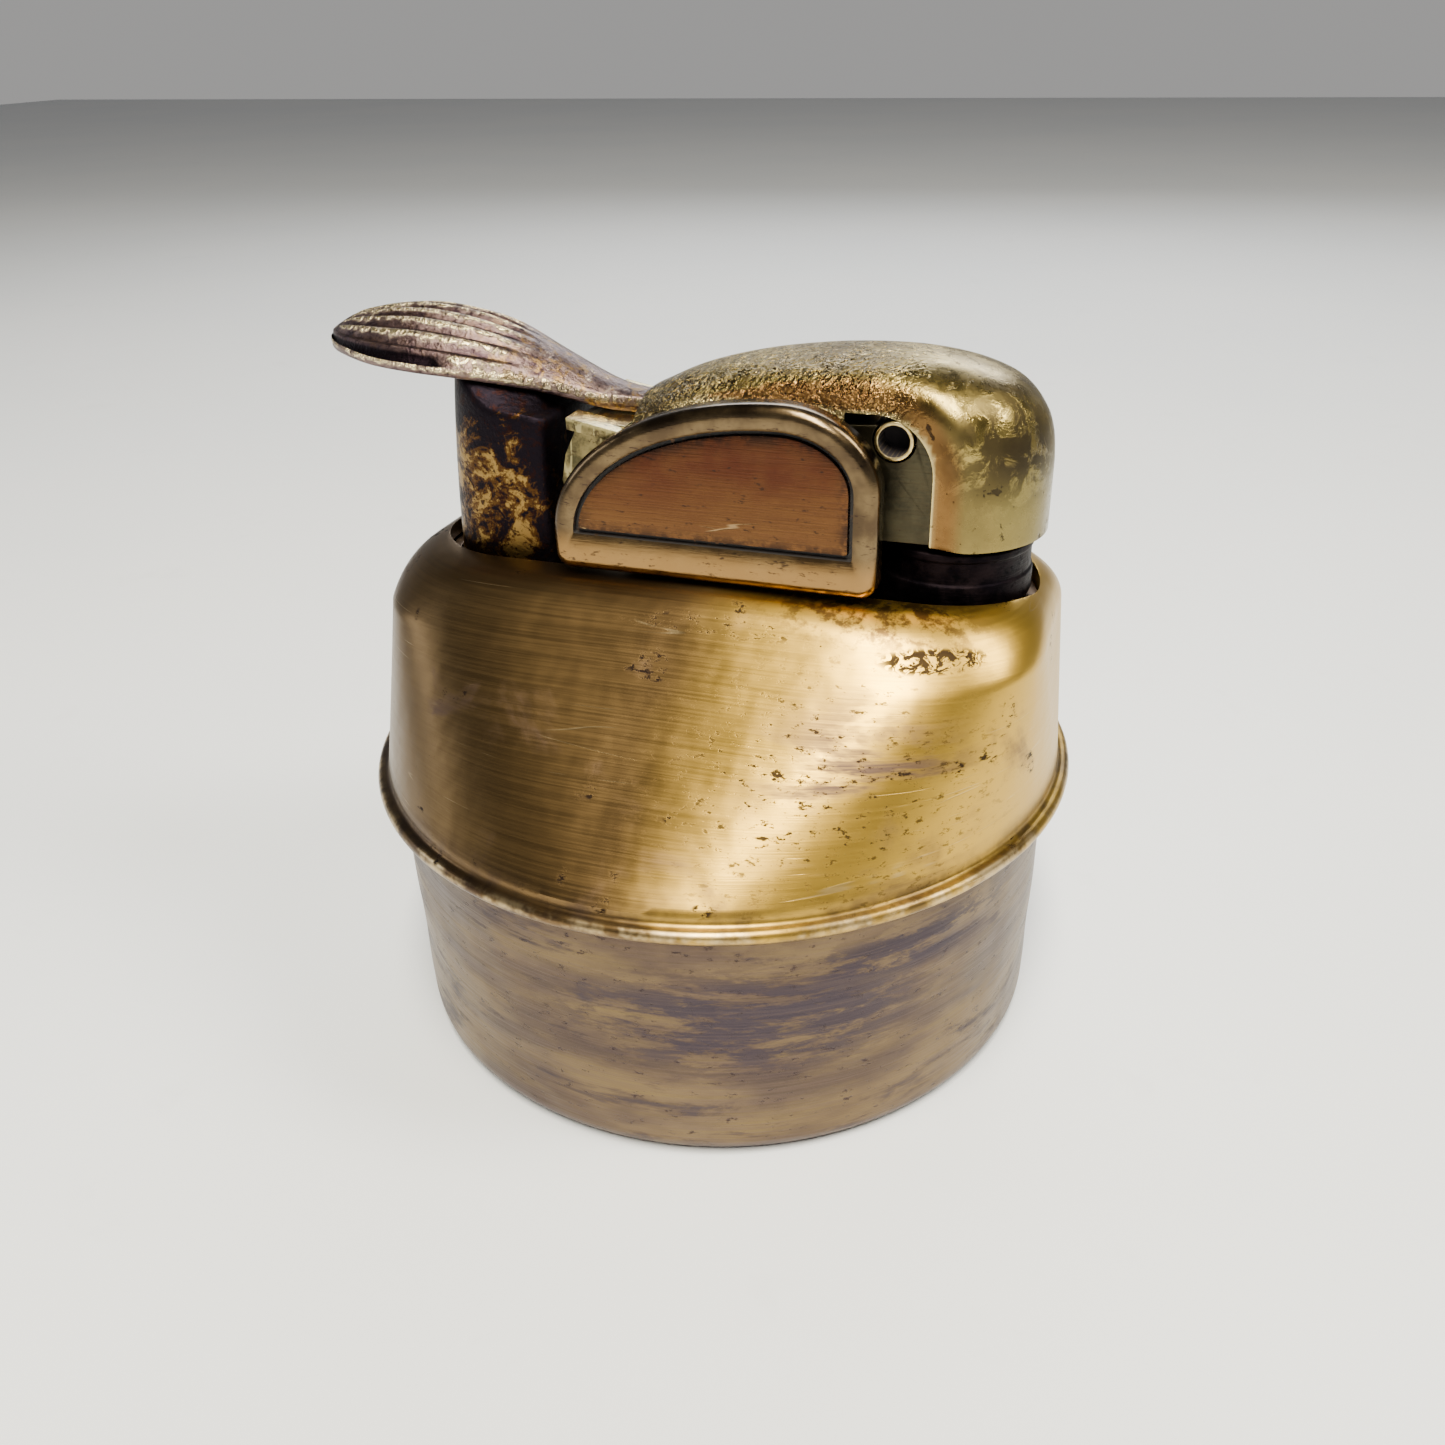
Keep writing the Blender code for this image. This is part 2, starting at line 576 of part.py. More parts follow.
def spark_wheel():
    """The cut wheel that strikes the flint, and the ratchet wheel beside it."""
    wheel_pivot = pivot("wheel_pivot", (WHEEL_AXIS[0], 0.0, WHEEL_AXIS[1]))
    toothed("flint_wheel", WHEEL_R, 0.25, WHEEL_TEETH, 0.5, -0.6, 1.8, STEEL, wheel_pivot)
    toothed("ratchet_wheel", RATCHET_R, 0.45, RATCHET_TEETH, 0.85, -1.8, -0.9, STEEL, wheel_pivot)


# ---- thumb lever -------------------------------------------------------------
# the pad along X: (x, crown height, half width, drop from the crown to the side edge)
PAD = ((-23.6, BEAD_Z + 23.75, 0.15, 0.05), (-23.1, BEAD_Z + 24.2, 1.7, 0.35),
       (-21.6, BEAD_Z + 24.9, 3.4, 1.1), (-19.0, BEAD_Z + 25.35, 4.5, 1.9),
       (-16.2, BEAD_Z + 25.4, 4.75, 2.2), (-12.6, BEAD_Z + 24.7, 4.1, 1.9),
       (-9.0, BEAD_Z + 23.1, 2.5, 1.1), (-6.0, BEAD_Z + 21.75, 1.6, 0.5),
       (-3.9, BEAD_Z + 21.3, 1.05, 0.25))
PAD_SHEET = 0.85


def pad_under(x, y):
    """Height of the pad's underside, eased out level past its side edges."""
    crown, half, drop = smooth_through(PAD, x)
    share = min(abs(y) / half, 1.15)
    return crown - drop * share ** 2 - PAD_SHEET


def thumb_pad(parent):
    """The leaf-shaped pad: a thin crowned sheet that narrows into a neck."""
    xs = [-23.6, -23.4, -23.0, -22.2, -21.0, -19.4, -17.8, -16.0, -14.2, -12.4, -10.6, -8.8,
          -7.2, -5.6, -3.9]
    across = 8
    rings = []
    for x in xs:
        crown, half, drop = smooth_through(PAD, x)
        shares = [-1 + 2 * k / across for k in range(across + 1)]
        top = [(x, s * half, crown - drop * s * s) for s in shares]
        sheet = PAD_SHEET * min(1.0, half / 1.0)
        under = [(x, s * half * 0.97, crown - drop * s * s - sheet) for s in reversed(shares)]
        rings.append(top + under)
    skin("thumb_pad", rings, DARK_BRASS, parent)


SKIRT_LOW = BEAD_Z + 10.4
SKIRT_RIGHT = -8.4
SKIRT_SHEET = 0.6
SKIRT_END_SOFTNESS = 2 / 2.8


def skirt_plan(inset, level, count_end=9):
    """The skirt in plan: a round end to the left, slightly tapered sides to the right.

    level runs from 0 at the bottom edge to 1 under the pad, where the end leans in.
    """
    lean = 0.9 * max(level, 0.0) ** 2
    half = 4.55 - inset
    centre_x = -11.05 + lean * 0.5
    reach = 4.7 - lean * 0.5 - inset
    right = SKIRT_RIGHT - inset
    plan = [(right, -half + 0.7), (right, half - 0.7), (right - 0.6, half - 0.15)]
    for k in range(count_end + 1):
        a = radians(90 + 180 * k / count_end)
        plan.append((centre_x + reach * soft_sign(cos(a), SKIRT_END_SOFTNESS),
                     half * soft_sign(sin(a), SKIRT_END_SOFTNESS)))
    plan.append((right - 0.6, -half + 0.15))
    return plan


def thumb_skirt(parent):
    """A hollow skirt, open below, whose roof follows the pad's underside."""
    def ring(inset, level, shrink, roof_drop):
        plan = skirt_plan(inset, level)
        middle = (-11.4, 0.0)
        points = []
        for x, y in plan:
            x = middle[0] + (x - middle[0]) * shrink
            y = middle[1] + (y - middle[1]) * shrink
            roof = pad_under(x, y) - GAP - roof_drop
            z = SKIRT_LOW + (roof - SKIRT_LOW) * level
            points.append((x, y, z))
        return points

    outer = [ring(0.0, level, 1.0, 0.0) for level in (0.0, 0.45, 0.8, 1.0)]
    roof = [ring(0.0, 1.0, shrink, 0.0) for shrink in (0.66, 0.33, 0.0)]
    ceiling = [ring(SKIRT_SHEET, 1.0, shrink, SKIRT_SHEET) for shrink in (0.0, 0.33, 0.66, 1.0)]
    inner = [ring(SKIRT_SHEET, level, 1.0, SKIRT_SHEET) for level in (0.8, 0.45, 0.0)]
    upper = outer + roof
    lower = ceiling + inner
    skin_cup("thumb_skirt", upper, lower, MOTTLED_BRASS, parent)


def lever_yoke(parent):
    """Two cheeks under the neck: a web and side tabs on top, a hub below, a lifting finger."""
    lx, lz = LEVER_AXIS
    hub = 1.7
    outline = [(-6.9, BEAD_Z + 19.9), (-7.7, BEAD_Z + 18.3), (-8.0, BEAD_Z + 16.8),
               (-7.6, BEAD_Z + 15.0), (-6.4, BEAD_Z + 13.6)]
    for k in range(5):
        a = radians(235 + 25 * k)
        outline.append((lx + hub * cos(a), lz + hub * sin(a)))
    finger_top = BEAD_Z + 16.3
    outline += [(1.2, finger_top - 0.9), (1.2, finger_top), (-1.0, finger_top),
                (-2.9, BEAD_Z + 17.0), (-3.6, BEAD_Z + 18.6), (-4.0, BEAD_Z + 19.9)]
    inner, outer = YOKE_LANE
    web_low, web_high = BEAD_Z + 19.5, BEAD_Z + 20.15
    flange = [(-6.9, web_low), (-4.0, web_low), (-4.0, web_high), (-6.9, web_high + 0.25)]
    tab = [(-7.1, BEAD_Z + 20.0), (-3.9, BEAD_Z + 19.45), (-3.9, BEAD_Z + 20.05),
           (-7.1, BEAD_Z + 20.65)]
    yoke = slab("lever_yoke", flange, -outer, outer, BRIGHT_BRASS, parent)
    combine(yoke, [slab("yoke_front_tool", outline, -outer, -inner, None, parent),
                   slab("yoke_rear_tool", outline, inner, outer, None, parent),
                   slab("tab_front_tool", tab, -4.35, -2.6, None, parent),
                   slab("tab_rear_tool", tab, 2.6, 4.35, None, parent)], "UNION")
    combine(yoke, [cross_hole("yoke_bore_tool", LEVER_AXIS, parent)], "DIFFERENCE")


def ratchet_pawl(parent):
    """A sprung blade hung from the yoke that catches the ratchet wheel's teeth."""
    outline = [(-5.6, BEAD_Z + 19.2), (-5.6, BEAD_Z + 18.6), (-4.4, BEAD_Z + 18.6),
               (-3.3, BEAD_Z + 19.35), (0.6, BEAD_Z + 19.35), (2.6, BEAD_Z + 18.0),
               (3.1, BEAD_Z + 18.45), (1.2, BEAD_Z + 20.1), (-3.2, BEAD_Z + 20.1),
               (-3.7, BEAD_Z + 19.2)]
    slab("ratchet_pawl", outline, -1.8, -0.9, STEEL, parent)


def spring_seat(parent):
    """The plate inside the skirt that the return spring pushes on."""
    rings = [[(x, y, z) for x, y in skirt_plan(SKIRT_SHEET + GAP, 0.0)]
             for z in (BEAD_Z + 12.6, BEAD_Z + 13.2)]
    skin("spring_seat", rings, STEEL, parent)


def thumb_lever():
    """Everything that tips with the thumb pad, and the spring that brings it back."""
    lever_pivot = pivot("lever_pivot", (LEVER_AXIS[0], 0.0, LEVER_AXIS[1]))
    thumb_pad(lever_pivot)
    thumb_skirt(lever_pivot)
    lever_yoke(lever_pivot)
    ratchet_pawl(lever_pivot)
    spring_seat(lever_pivot)
    coil("return_spring", SPRING_R, 0.25, 4, FRAME_FLOOR_Z + FRAME_SHEET + GAP, BEAD_Z + 12.3, STEEL,
         "Z", (SPRING_X, 0.0), 12, 4)


# ---- snuffer -----------------------------------------------------------------
CAP_END_X = 18.6
CAP_LOW = BEAD_Z + 15.3
ARM_LEFT = -3.5
# the snuffer's back along X: (x, height)
SNUFFER_BACK = ((-3.5, BEAD_Z + 21.6), (-0.8, BEAD_Z + 22.8), (2.6, BEAD_Z + 23.7),
                (6.5, BEAD_Z + 24.25), (10.2, BEAD_Z + 24.4), (12.8, BEAD_Z + 24.2),
                (15.2, BEAD_Z + 23.65), (16.8, BEAD_Z + 22.9), (18.0, BEAD_Z + 21.6),
                (18.45, BEAD_Z + 20.4), (18.6, BEAD_Z + 19.2))


def snuffer_section(x, inset):
    """One arch of the shell across Y at x, from the front foot over the back to the rear."""
    back = smooth_through(SNUFFER_BACK, x)[0] - inset
    end = max(x - WICK_X, 0.0)
    reach = CAP_END_X - WICK_X - inset
    half = (SHELL_LANE[1] - inset) * sqrt(max(1 - (end / reach) ** 2, 0.0))
    low = CAP_LOW + 0.7 * min(max((10.5 - x) / 6.5, 0.0), 1.0)
    shoulder = max(back - 3.4, low + 0.2)
    points = [(x, -half, low), (x, -half, low + (shoulder - low) * 0.5)]
    steps = 12
    for k in range(steps + 1):
        a = pi * k / steps
        bulge = 2 / 2.4
        y = -half * (1 if cos(a) >= 0 else -1) * abs(cos(a)) ** bulge
        points.append((x, y, shoulder + (back - shoulder) * sin(a) ** bulge))
    points += [(x, half, low + (shoulder - low) * 0.5), (x, half, low)]
    return points


def snuffer_shell(parent):
    """The hollow shell: open below and at the left end, with an arched window each side."""
    sheet = SHELL_LANE[1] - SHELL_LANE[0]
    xs = [ARM_LEFT, -1.6, 0.6, 3.0, 5.6, 8.2, 10.5, 12.2, WICK_X]
    ends = [22, 42, 59, 73, 83, 90]

    def stations(inset):
        reach = CAP_END_X - WICK_X - inset
        return xs + [WICK_X + reach * sin(radians(a)) for a in ends]

    rings = []
    for outer_x, inner_x in zip(stations(0.0), stations(sheet)):
        outside = snuffer_section(outer_x, 0.0)
        inside = snuffer_section(inner_x, sheet)
        rings.append(outside + inside[::-1])
    shell = skin("snuffer_shell", rings, SNUFFER_BRASS, parent, caps=(0,))
    window = [(8.4, CAP_LOW - 1.0), (13.1, CAP_LOW - 1.0), (13.1, BEAD_Z + 19.2),
              (12.9, BEAD_Z + 20.6), (12.3, BEAD_Z + 21.6), (11.2, BEAD_Z + 22.1),
              (8.4, BEAD_Z + 22.1)]
    combine(shell, [slab("window_front_tool", window, -6.0, -4.3, None, parent),
                    slab("window_rear_tool", window, 4.3, 6.0, None, parent),
                    cross_hole("shell_bore_tool", SNUFFER_AXIS, parent)], "DIFFERENCE")


def snuffer_arm(parent):
    """The channel inside the shell: two cheeks joined by a web under the shell's back."""
    sx, sz = SNUFFER_AXIS
    lobe = 1.75
    outline = []
    for k in range(7):
        a = radians(100 + 28 * k)
        outline.append((sx + lobe * cos(a), sz + lobe * sin(a)))
    outline += [(3.0, BEAD_Z + 16.1), (9.6, BEAD_Z + 15.35), (14.0, BEAD_Z + 15.35),
                (14.0, BEAD_Z + 20.4), (13.2, BEAD_Z + 21.3), (11.6, BEAD_Z + 21.5),
                (8.0, BEAD_Z + 21.3), (3.0, BEAD_Z + 20.5)]
    inner, outer = CHEEK_LANE
    web = block("snuffer_arm", (5.4, -4.0, BEAD_Z + 20.2), (9.4, 4.0, BEAD_Z + 20.7), CHEEK_BRASS,
                parent)
    combine(web, [slab("cheek_front_tool", outline, -outer, -inner, None, parent),
                  slab("cheek_rear_tool", outline, inner, outer, None, parent)], "UNION")
    combine(web, [cross_hole("cheek_bore_tool", SNUFFER_AXIS, parent),
                  cross_hole("cheek_pin_tool", SNUFFER_PIN, parent, 1.15)], "DIFFERENCE")


def snuffer_fittings(parent):
    """The hollow-ended rivet through the cheeks, the cap over the wick and the lift studs."""
    pin = [(0.0, -2.9), (0.82, -2.9), (0.82, -4.35), (1.02, -4.35), (1.02, 4.35), (0.82, 4.35),
           (0.82, 2.9), (0.0, 2.9)]
    turned("snuffer_pin", pin, BRIGHT_BRASS, SMALL_ROUND, "Y", SNUFFER_PIN, parent)
    cap = [(3.5, BEAD_Z + 16.7), (3.5, BEAD_Z + 18.6), (3.0, BEAD_Z + 19.1), (0.0, BEAD_Z + 19.1),
           (0.0, BEAD_Z + 18.5), (2.4, BEAD_Z + 18.5), (2.4, BEAD_Z + 16.7)]
    turned("snuffer_inner_cap", cap, BRIGHT_BRASS, SMALL_ROUND, "Z", (WICK_X, 0.0), parent, loop=True)
    for side, near, far in (("front", -3.5, -2.95), ("rear", 2.95, 3.5)):
        turned("lift_stud_" + side, [(0.5, near), (0.5, far)], STEEL, 16, "Y",
               (0.2, BEAD_Z + 16.9), parent)


def snuffer():
    """Everything that lifts off the wick, and the spring wound round its axle."""
    snuffer_pivot = pivot("snuffer_pivot", (SNUFFER_AXIS[0], 0.0, SNUFFER_AXIS[1]))
    snuffer_shell(snuffer_pivot)
    snuffer_arm(snuffer_pivot)
    snuffer_fittings(snuffer_pivot)
    coil("snuffer_spring", 1.25, 0.18, 4, -0.4, 1.8, STEEL, "Y", SNUFFER_AXIS, 10, 4)


base_cup()
dome_shell()
well_pan()
mechanism_frame()
frame_screws()
axles()
side_plates()
burner()
tank_filling()
filler()
flint_feed()
spark_wheel()
thumb_lever()
snuffer()
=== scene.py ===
"""The looks of the table lighter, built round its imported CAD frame."""
import json
from math import asin, cos, pi, radians, sin, sqrt, tau

import bmesh
import bpy
from mathutils import Matrix, Vector


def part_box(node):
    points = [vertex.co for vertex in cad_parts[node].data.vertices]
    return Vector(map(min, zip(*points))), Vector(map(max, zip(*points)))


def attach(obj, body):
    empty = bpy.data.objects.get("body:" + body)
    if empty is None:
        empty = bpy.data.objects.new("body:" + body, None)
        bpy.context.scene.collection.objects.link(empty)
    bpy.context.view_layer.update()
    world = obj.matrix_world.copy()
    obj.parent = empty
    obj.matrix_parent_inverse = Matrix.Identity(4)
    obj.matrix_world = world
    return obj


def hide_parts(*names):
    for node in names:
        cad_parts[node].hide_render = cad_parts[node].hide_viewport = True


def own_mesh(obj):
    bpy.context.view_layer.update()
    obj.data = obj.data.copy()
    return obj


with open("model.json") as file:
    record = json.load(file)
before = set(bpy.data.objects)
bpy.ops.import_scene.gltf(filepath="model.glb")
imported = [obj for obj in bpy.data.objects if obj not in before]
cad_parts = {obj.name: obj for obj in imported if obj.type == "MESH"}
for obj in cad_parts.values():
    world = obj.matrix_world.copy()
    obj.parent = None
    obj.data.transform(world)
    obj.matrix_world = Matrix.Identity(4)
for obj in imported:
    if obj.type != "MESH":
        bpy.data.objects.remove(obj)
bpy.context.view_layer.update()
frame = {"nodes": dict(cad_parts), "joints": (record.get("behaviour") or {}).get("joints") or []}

MM = 0.001


def mm_box(node):
    """A CAD node's lowest and highest corners, in millimetres."""
    low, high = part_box(node)
    return low / MM, high / MM


def joint_axis(name):
    """The (x, z) of a hinge that turns about Y, in millimetres."""
    joint = next(j for j in frame["joints"] if j["name"] == name)
    return joint["pos_m"][0] / MM, joint["pos_m"][2] / MM


# ---- driving dimensions, read from the frame ---------------------------------
DOME_HIGH = mm_box("dome_shell")[1]
CUP_HIGH = mm_box("base_cup")[1]
SHELL_LOW, SHELL_HIGH = mm_box("snuffer_shell")
PLATE_LOW, PLATE_HIGH = mm_box("front_side_plate")
BURNER_LOW, BURNER_HIGH = mm_box("burner_cup")
PAD_LOW, PAD_HIGH = mm_box("thumb_pad")
SKIRT_LOW, SKIRT_HIGH = mm_box("thumb_skirt")

BEAD_R = DOME_HIGH.x
BEAD_Z = CUP_HIGH.z + 0.7
DOME_TOP_Z = DOME_HIGH.z
CUP_R_TOP = CUP_HIGH.x
SHEET = 0.8
SNUFFER_AXIS = joint_axis("snuffer_lift")
WICK_X = (BURNER_LOW.x + BURNER_HIGH.x) / 2
FILLER_X = sum(v.x for v in mm_box("filler_screw")) / 2
FLINT_X = sum(v.x for v in mm_box("flint_screw")) / 2


# ---- mesh helpers ------------------------------------------------------------
def mesh_object(name, verts, faces, mats, body, replaced=(), indices=None, crease=40):
    """A smooth-shaded piece from points in millimetres, riding on a CAD body."""
    mesh = bpy.data.meshes.new(name)
    mesh.from_pydata([tuple(c * MM for c in v) for v in verts], [], faces)
    if indices is not None:
        mesh.polygons.foreach_set("material_index", indices)
    bm = bmesh.new()
    bm.from_mesh(mesh)
    bmesh.ops.remove_doubles(bm, verts=bm.verts, dist=2e-7)
    bmesh.ops.recalc_face_normals(bm, faces=bm.faces)
    bm.to_mesh(mesh)
    bm.free()
    for mat in mats:
        mesh.materials.append(mat)
    mesh.shade_smooth()
    mesh.set_sharp_from_angle(angle=radians(crease))
    obj = bpy.data.objects.new(name, mesh)
    bpy.context.collection.objects.link(obj)
    if body:
        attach(obj, body)
        if replaced:
            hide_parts(*replaced)
    return obj


def band_faces(pairs, count):
    """Four-cornered faces between each pair of rings of count points."""
    return [(a * count + i, a * count + (i + 1) % count, b * count + (i + 1) % count, b * count + i)
            for a, b in pairs for i in range(count)]


def skin(name, rings, mats, body, replaced=(), loop=False, caps=(0, -1), bands=None, crease=40):
    """Skin equal rings into one body; bands gives each band's material index."""
    count = len(rings[0])
    verts = [p for ring in rings for p in ring]
    pairs = [(k, k + 1) for k in range(len(rings) - 1)]
    if loop:
        pairs.append((len(rings) - 1, 0))
    faces = band_faces(pairs, count)
    indices = [bands[k] if bands else 0 for k in range(len(pairs)) for _ in range(count)]
    if not loop:
        for k in caps:
            k %= len(rings)
            faces.append(tuple(k * count + i for i in range(count)))
            indices.append(bands[k - 1] if bands and k else 0)
    return mesh_object(name, verts, faces, mats, body, replaced, indices, crease)


def apply_modifiers(obj):
    """Keep what the modifiers make as the object's own mesh."""
    bpy.context.view_layer.update()
    graph = bpy.context.evaluated_depsgraph_get()
    mesh = bpy.data.meshes.new_from_object(obj.evaluated_get(graph), depsgraph=graph)
    mesh.transform(obj.matrix_world)
    obj.modifiers.clear()
    obj.data = mesh
    return obj


def cut(obj, tools, bevel=0.0, crease=40):
    """Cut the tools out of an object, round the new edges a little and drop the tools."""
    for tool in tools:
        mod = obj.modifiers.new(tool.name, "BOOLEAN")
        mod.operation = "DIFFERENCE"
        mod.solver = "EXACT"
        mod.object = tool
    apply_modifiers(obj)
    for tool in tools:
        bpy.data.objects.remove(tool)
    if bevel:
        mod = obj.modifiers.new("edge", "BEVEL")
        mod.width = bevel * MM
        mod.segments = 3
        mod.limit_method = "ANGLE"
        mod.angle_limit = radians(55)
        mod.use_clamp_overlap = True
        apply_modifiers(obj)
    obj.data.shade_smooth()
    obj.data.set_sharp_from_angle(angle=radians(crease))
    return obj


def mark(obj, name, reader):
    """Store reader(x, y, z), taken at each vertex in millimetres, for a material to read."""
    values = obj.data.attributes.new(name, "FLOAT", "POINT").data
    for vert, value in zip(obj.data.vertices, values):
        value.value = reader(*(c / MM for c in vert.co))


def circle(radius, count, axis, along, centre=(0.0, 0.0)):
    """A ring of points round an axis, at a distance along it."""
    points = []
    for i in range(count):
        a = tau * (i + 0.5) / count
        u, v = centre[0] + radius * cos(a), centre[1] + radius * sin(a)
        points.append((u, v, along) if axis == "Z" else (u, along, v))
    return points


def turned(name, profile, mats, body, replaced=(), count=96, axis="Z", centre=(0.0, 0.0),
           loop=False, crease=40):
    """A piece turned from a profile of (radius, distance along the axis)."""
    rings = [circle(r, count, axis, t, centre) for r, t in profile]
    return skin(name, rings, mats, body, replaced, loop, crease=crease)


def fillet(profile, radius, steps=4):
    """Round every corner of a closed (r, z) profile by up to radius."""
    rounded = []
    count = len(profile)
    for i, p in enumerate(profile):
        before, after = profile[i - 1], profile[(i + 1) % count]
        to_before = Vector((before[0] - p[0], before[1] - p[1]))
        to_after = Vector((after[0] - p[0], after[1] - p[1]))
        reach = min(radius, to_before.length * 0.45, to_after.length * 0.45)
        a = Vector(p) + to_before.normalized() * reach
        b = Vector(p) + to_after.normalized() * reach
        for k in range(steps + 1):
            t = k / steps
            q = a * (1 - t) ** 2 + Vector(p) * 2 * t * (1 - t) + b * t ** 2
            rounded.append((q.x, q.y))
    return rounded


def arc(centre, radii, start, end, steps, first=0):
    """Points on a stretch of an ellipse, between two angles in degrees."""
    angles = [radians(start + (end - start) * k / steps) for k in range(first, steps + 1)]
    return [(centre[0] + radii[0] * cos(a), centre[1] + radii[1] * sin(a)) for a in angles]


def disc(x, y, radius, count):
    """A round outline."""
    return [(x + radius * cos(tau * k / count), y + radius * sin(tau * k / count))
            for k in range(count)]


def tool_prism(name, outline, low, high, axis="Y"):
    """A plain cutter: an XZ outline along Y, or an XY outline along Z."""
    if axis == "Y":
        rings = [[(x, y, z) for x, z in outline] for y in (low, high)]
    else:
        rings = [[(x, y, z) for x, y in outline] for z in (low, high)]
    return skin(name, rings, [], None)


def smooth_through(table, x):
    """Read a smooth curve through rows of (x, value, ...) at x."""
    last = len(table) - 2
    i = 0
    while i < last and x > table[i + 1][0]:
        i += 1
    p1, p2 = table[i], table[i + 1]
    p0, p3 = table[max(i - 1, 0)], table[min(i + 2, len(table) - 1)]
    span = p2[0] - p1[0]
    t = min(max((x - p1[0]) / span, 0.0), 1.0)
    values = []
    for k in range(1, len(p1)):
        m1 = (p2[k] - p0[k]) / (p2[0] - p0[0]) * span
        m2 = (p3[k] - p1[k]) / (p3[0] - p1[0]) * span
        values.append((2 * t**3 - 3 * t**2 + 1) * p1[k] + (t**3 - 2 * t**2 + t) * m1
                      + (3 * t**2 - 2 * t**3) * p2[k] + (t**3 - t**2) * m2)
    return values


def ease(low, high, x):
    """0 below low, 1 above high, smooth between."""
    t = min(max((x - low) / (high - low), 0.0), 1.0)
    return t * t * (3 - 2 * t)


# ---- material helpers --------------------------------------------------------
class Value:
    """A node's output, which is added, multiplied and so on like a number."""

    def __init__(self, nodes, socket):
        self.nodes, self.socket = nodes, socket

    def __add__(self, other):
        return self.nodes.math("ADD", self, other)

    def __sub__(self, other):
        return self.nodes.math("SUBTRACT", self, other)

    def __rsub__(self, other):
        return self.nodes.math("SUBTRACT", other, self)

    def __mul__(self, other):
        return self.nodes.math("MULTIPLY", self, other)

    def __pow__(self, other):
        return self.nodes.math("POWER", self, other)

    def __abs__(self):
        return self.nodes.math("ABSOLUTE", self)


class Nodes:
    """A short way to write a node material whose patterns are laid out in millimetres."""

    def __init__(self, name):
        self.mat = bpy.data.materials.new(name)
        self.mat.use_nodes = True
        self.tree = self.mat.node_tree
        self.shader = self.tree.nodes["Principled BSDF"]
        coords = self.tree.nodes.new("ShaderNodeTexCoord")
        self.place = self.stretch(coords.outputs["Object"], (1 / MM, 1 / MM, 1 / MM))
        self.colour = self.normal = None

    def link(self, value, socket):
        """Feed a socket from another node, or set it to a number or a colour."""
        value = getattr(value, "socket", value)
        if hasattr(value, "is_output"):
            self.tree.links.new(value, socket)
        elif socket.type == "RGBA":
            socket.default_value = (*value, 1.0)
        else:
            socket.default_value = value

    def node(self, kind, inputs, **settings):
        """A new node with its settings made and its inputs fed."""
        node = self.tree.nodes.new("ShaderNode" + kind)
        for name, value in settings.items():
            setattr(node, name, value)
        for name, value in inputs.items():
            self.link(value, node.inputs[name])
        return node

    def value(self, output, kind, inputs, **settings):
        """The named output of a new node."""
        return Value(self, self.node(kind, inputs, **settings).outputs[output])

    def stretch(self, vector, scale, turn=(0, 0, 0)):
        """A place that is scaled along each axis and turned."""
        inputs = {"Vector": vector, "Scale": scale, "Rotation": turn}
        return self.node("Mapping", inputs).outputs["Vector"]

    def noise(self, scale, detail=3.0, rough=0.55, vector=None, distort=0.0):
        inputs = {"Vector": vector or self.place, "Scale": scale, "Detail": detail,
                  "Roughness": rough, "Distortion": distort}
        return self.value("Fac", "TexNoise", inputs)

    def streaks(self, scale, detail, rough, distort=0.0, turn=(0, 0, 0)):
        """Noise with a scale of its own along each axis."""
        return self.noise(1.0, detail, rough, self.stretch(self.place, scale, turn), distort)

    def cells(self, scale, feature="F1", vector=None):
        inputs = {"Vector": vector or self.place, "Scale": scale, "Randomness": 1.0}
        return self.value("Distance", "TexVoronoi", inputs, feature=feature)

    def math(self, operation, a, b=0.0):
        return self.value(0, "Math", {0: a, 1: b}, operation=operation)

    def step(self, value, low, high, out_low=0.0, out_high=1.0):
        """Map value from low..high to out_low..out_high, smooth and clamped."""
        inputs = {"Value": value, "From Min": low, "From Max": high, "To Min": out_low,
                  "To Max": out_high}
        return self.value("Result", "MapRange", inputs, interpolation_type="SMOOTHSTEP")

    def mix(self, share, a, b):
        return self.value(2, "Mix", {0: share, 6: a, 7: b}, data_type="RGBA")

    def pick(self, vector, name):
        return self.value(name, "SeparateXYZ", {0: vector})

    def axis(self, name):
        return self.pick(self.place, name)

    def rise(self, name, low, high, *outs):
        """A step along one axis."""
        return self.step(self.axis(name), low, high, *outs)

    def blots(self, noise, low, high, *outs):
        """A step on a noise, given as its scale, detail and roughness."""
        return self.step(self.noise(*noise), low, high, *outs)

    def shift(self, vector, amount_source, strength):
        """Push a vector about by a noise value, so that lines waver."""
        scaled = self.math("MULTIPLY", amount_source, strength)
        return self.node("VectorMath", {0: vector, 1: scaled}, operation="ADD").outputs[0]

    def near(self, centre, reach, soft):
        """1 inside an egg-shaped region round centre, 0 outside; reach is its half sizes."""
        offset = self.node("VectorMath", {0: self.place, 1: centre}, operation="SUBTRACT")
        scaled = self.stretch(offset.outputs[0], tuple(1 / r for r in reach))
        length = self.value("Value", "VectorMath", {0: scaled}, operation="LENGTH")
        return self.step(length, 1 + soft, 1 - soft)

    def attribute(self, name):
        return self.value("Fac", "Attribute", {}, attribute_name=name)

    def brushed(self, amount):
        """Stretch the highlights across brushing that runs level round the object."""
        tangent = self.node("Tangent", {}, direction_type="RADIAL", axis="Z")
        self.link(amount, self.shader.inputs["Anisotropic"])
        self.link(0.25, self.shader.inputs["Anisotropic Rotation"])
        self.link(tangent.outputs[0], self.shader.inputs["Tangent"])

    def paint(self, share, colour):
        """Lay a colour over what is there, by share."""
        self.colour = self.mix(share, self.colour, colour)

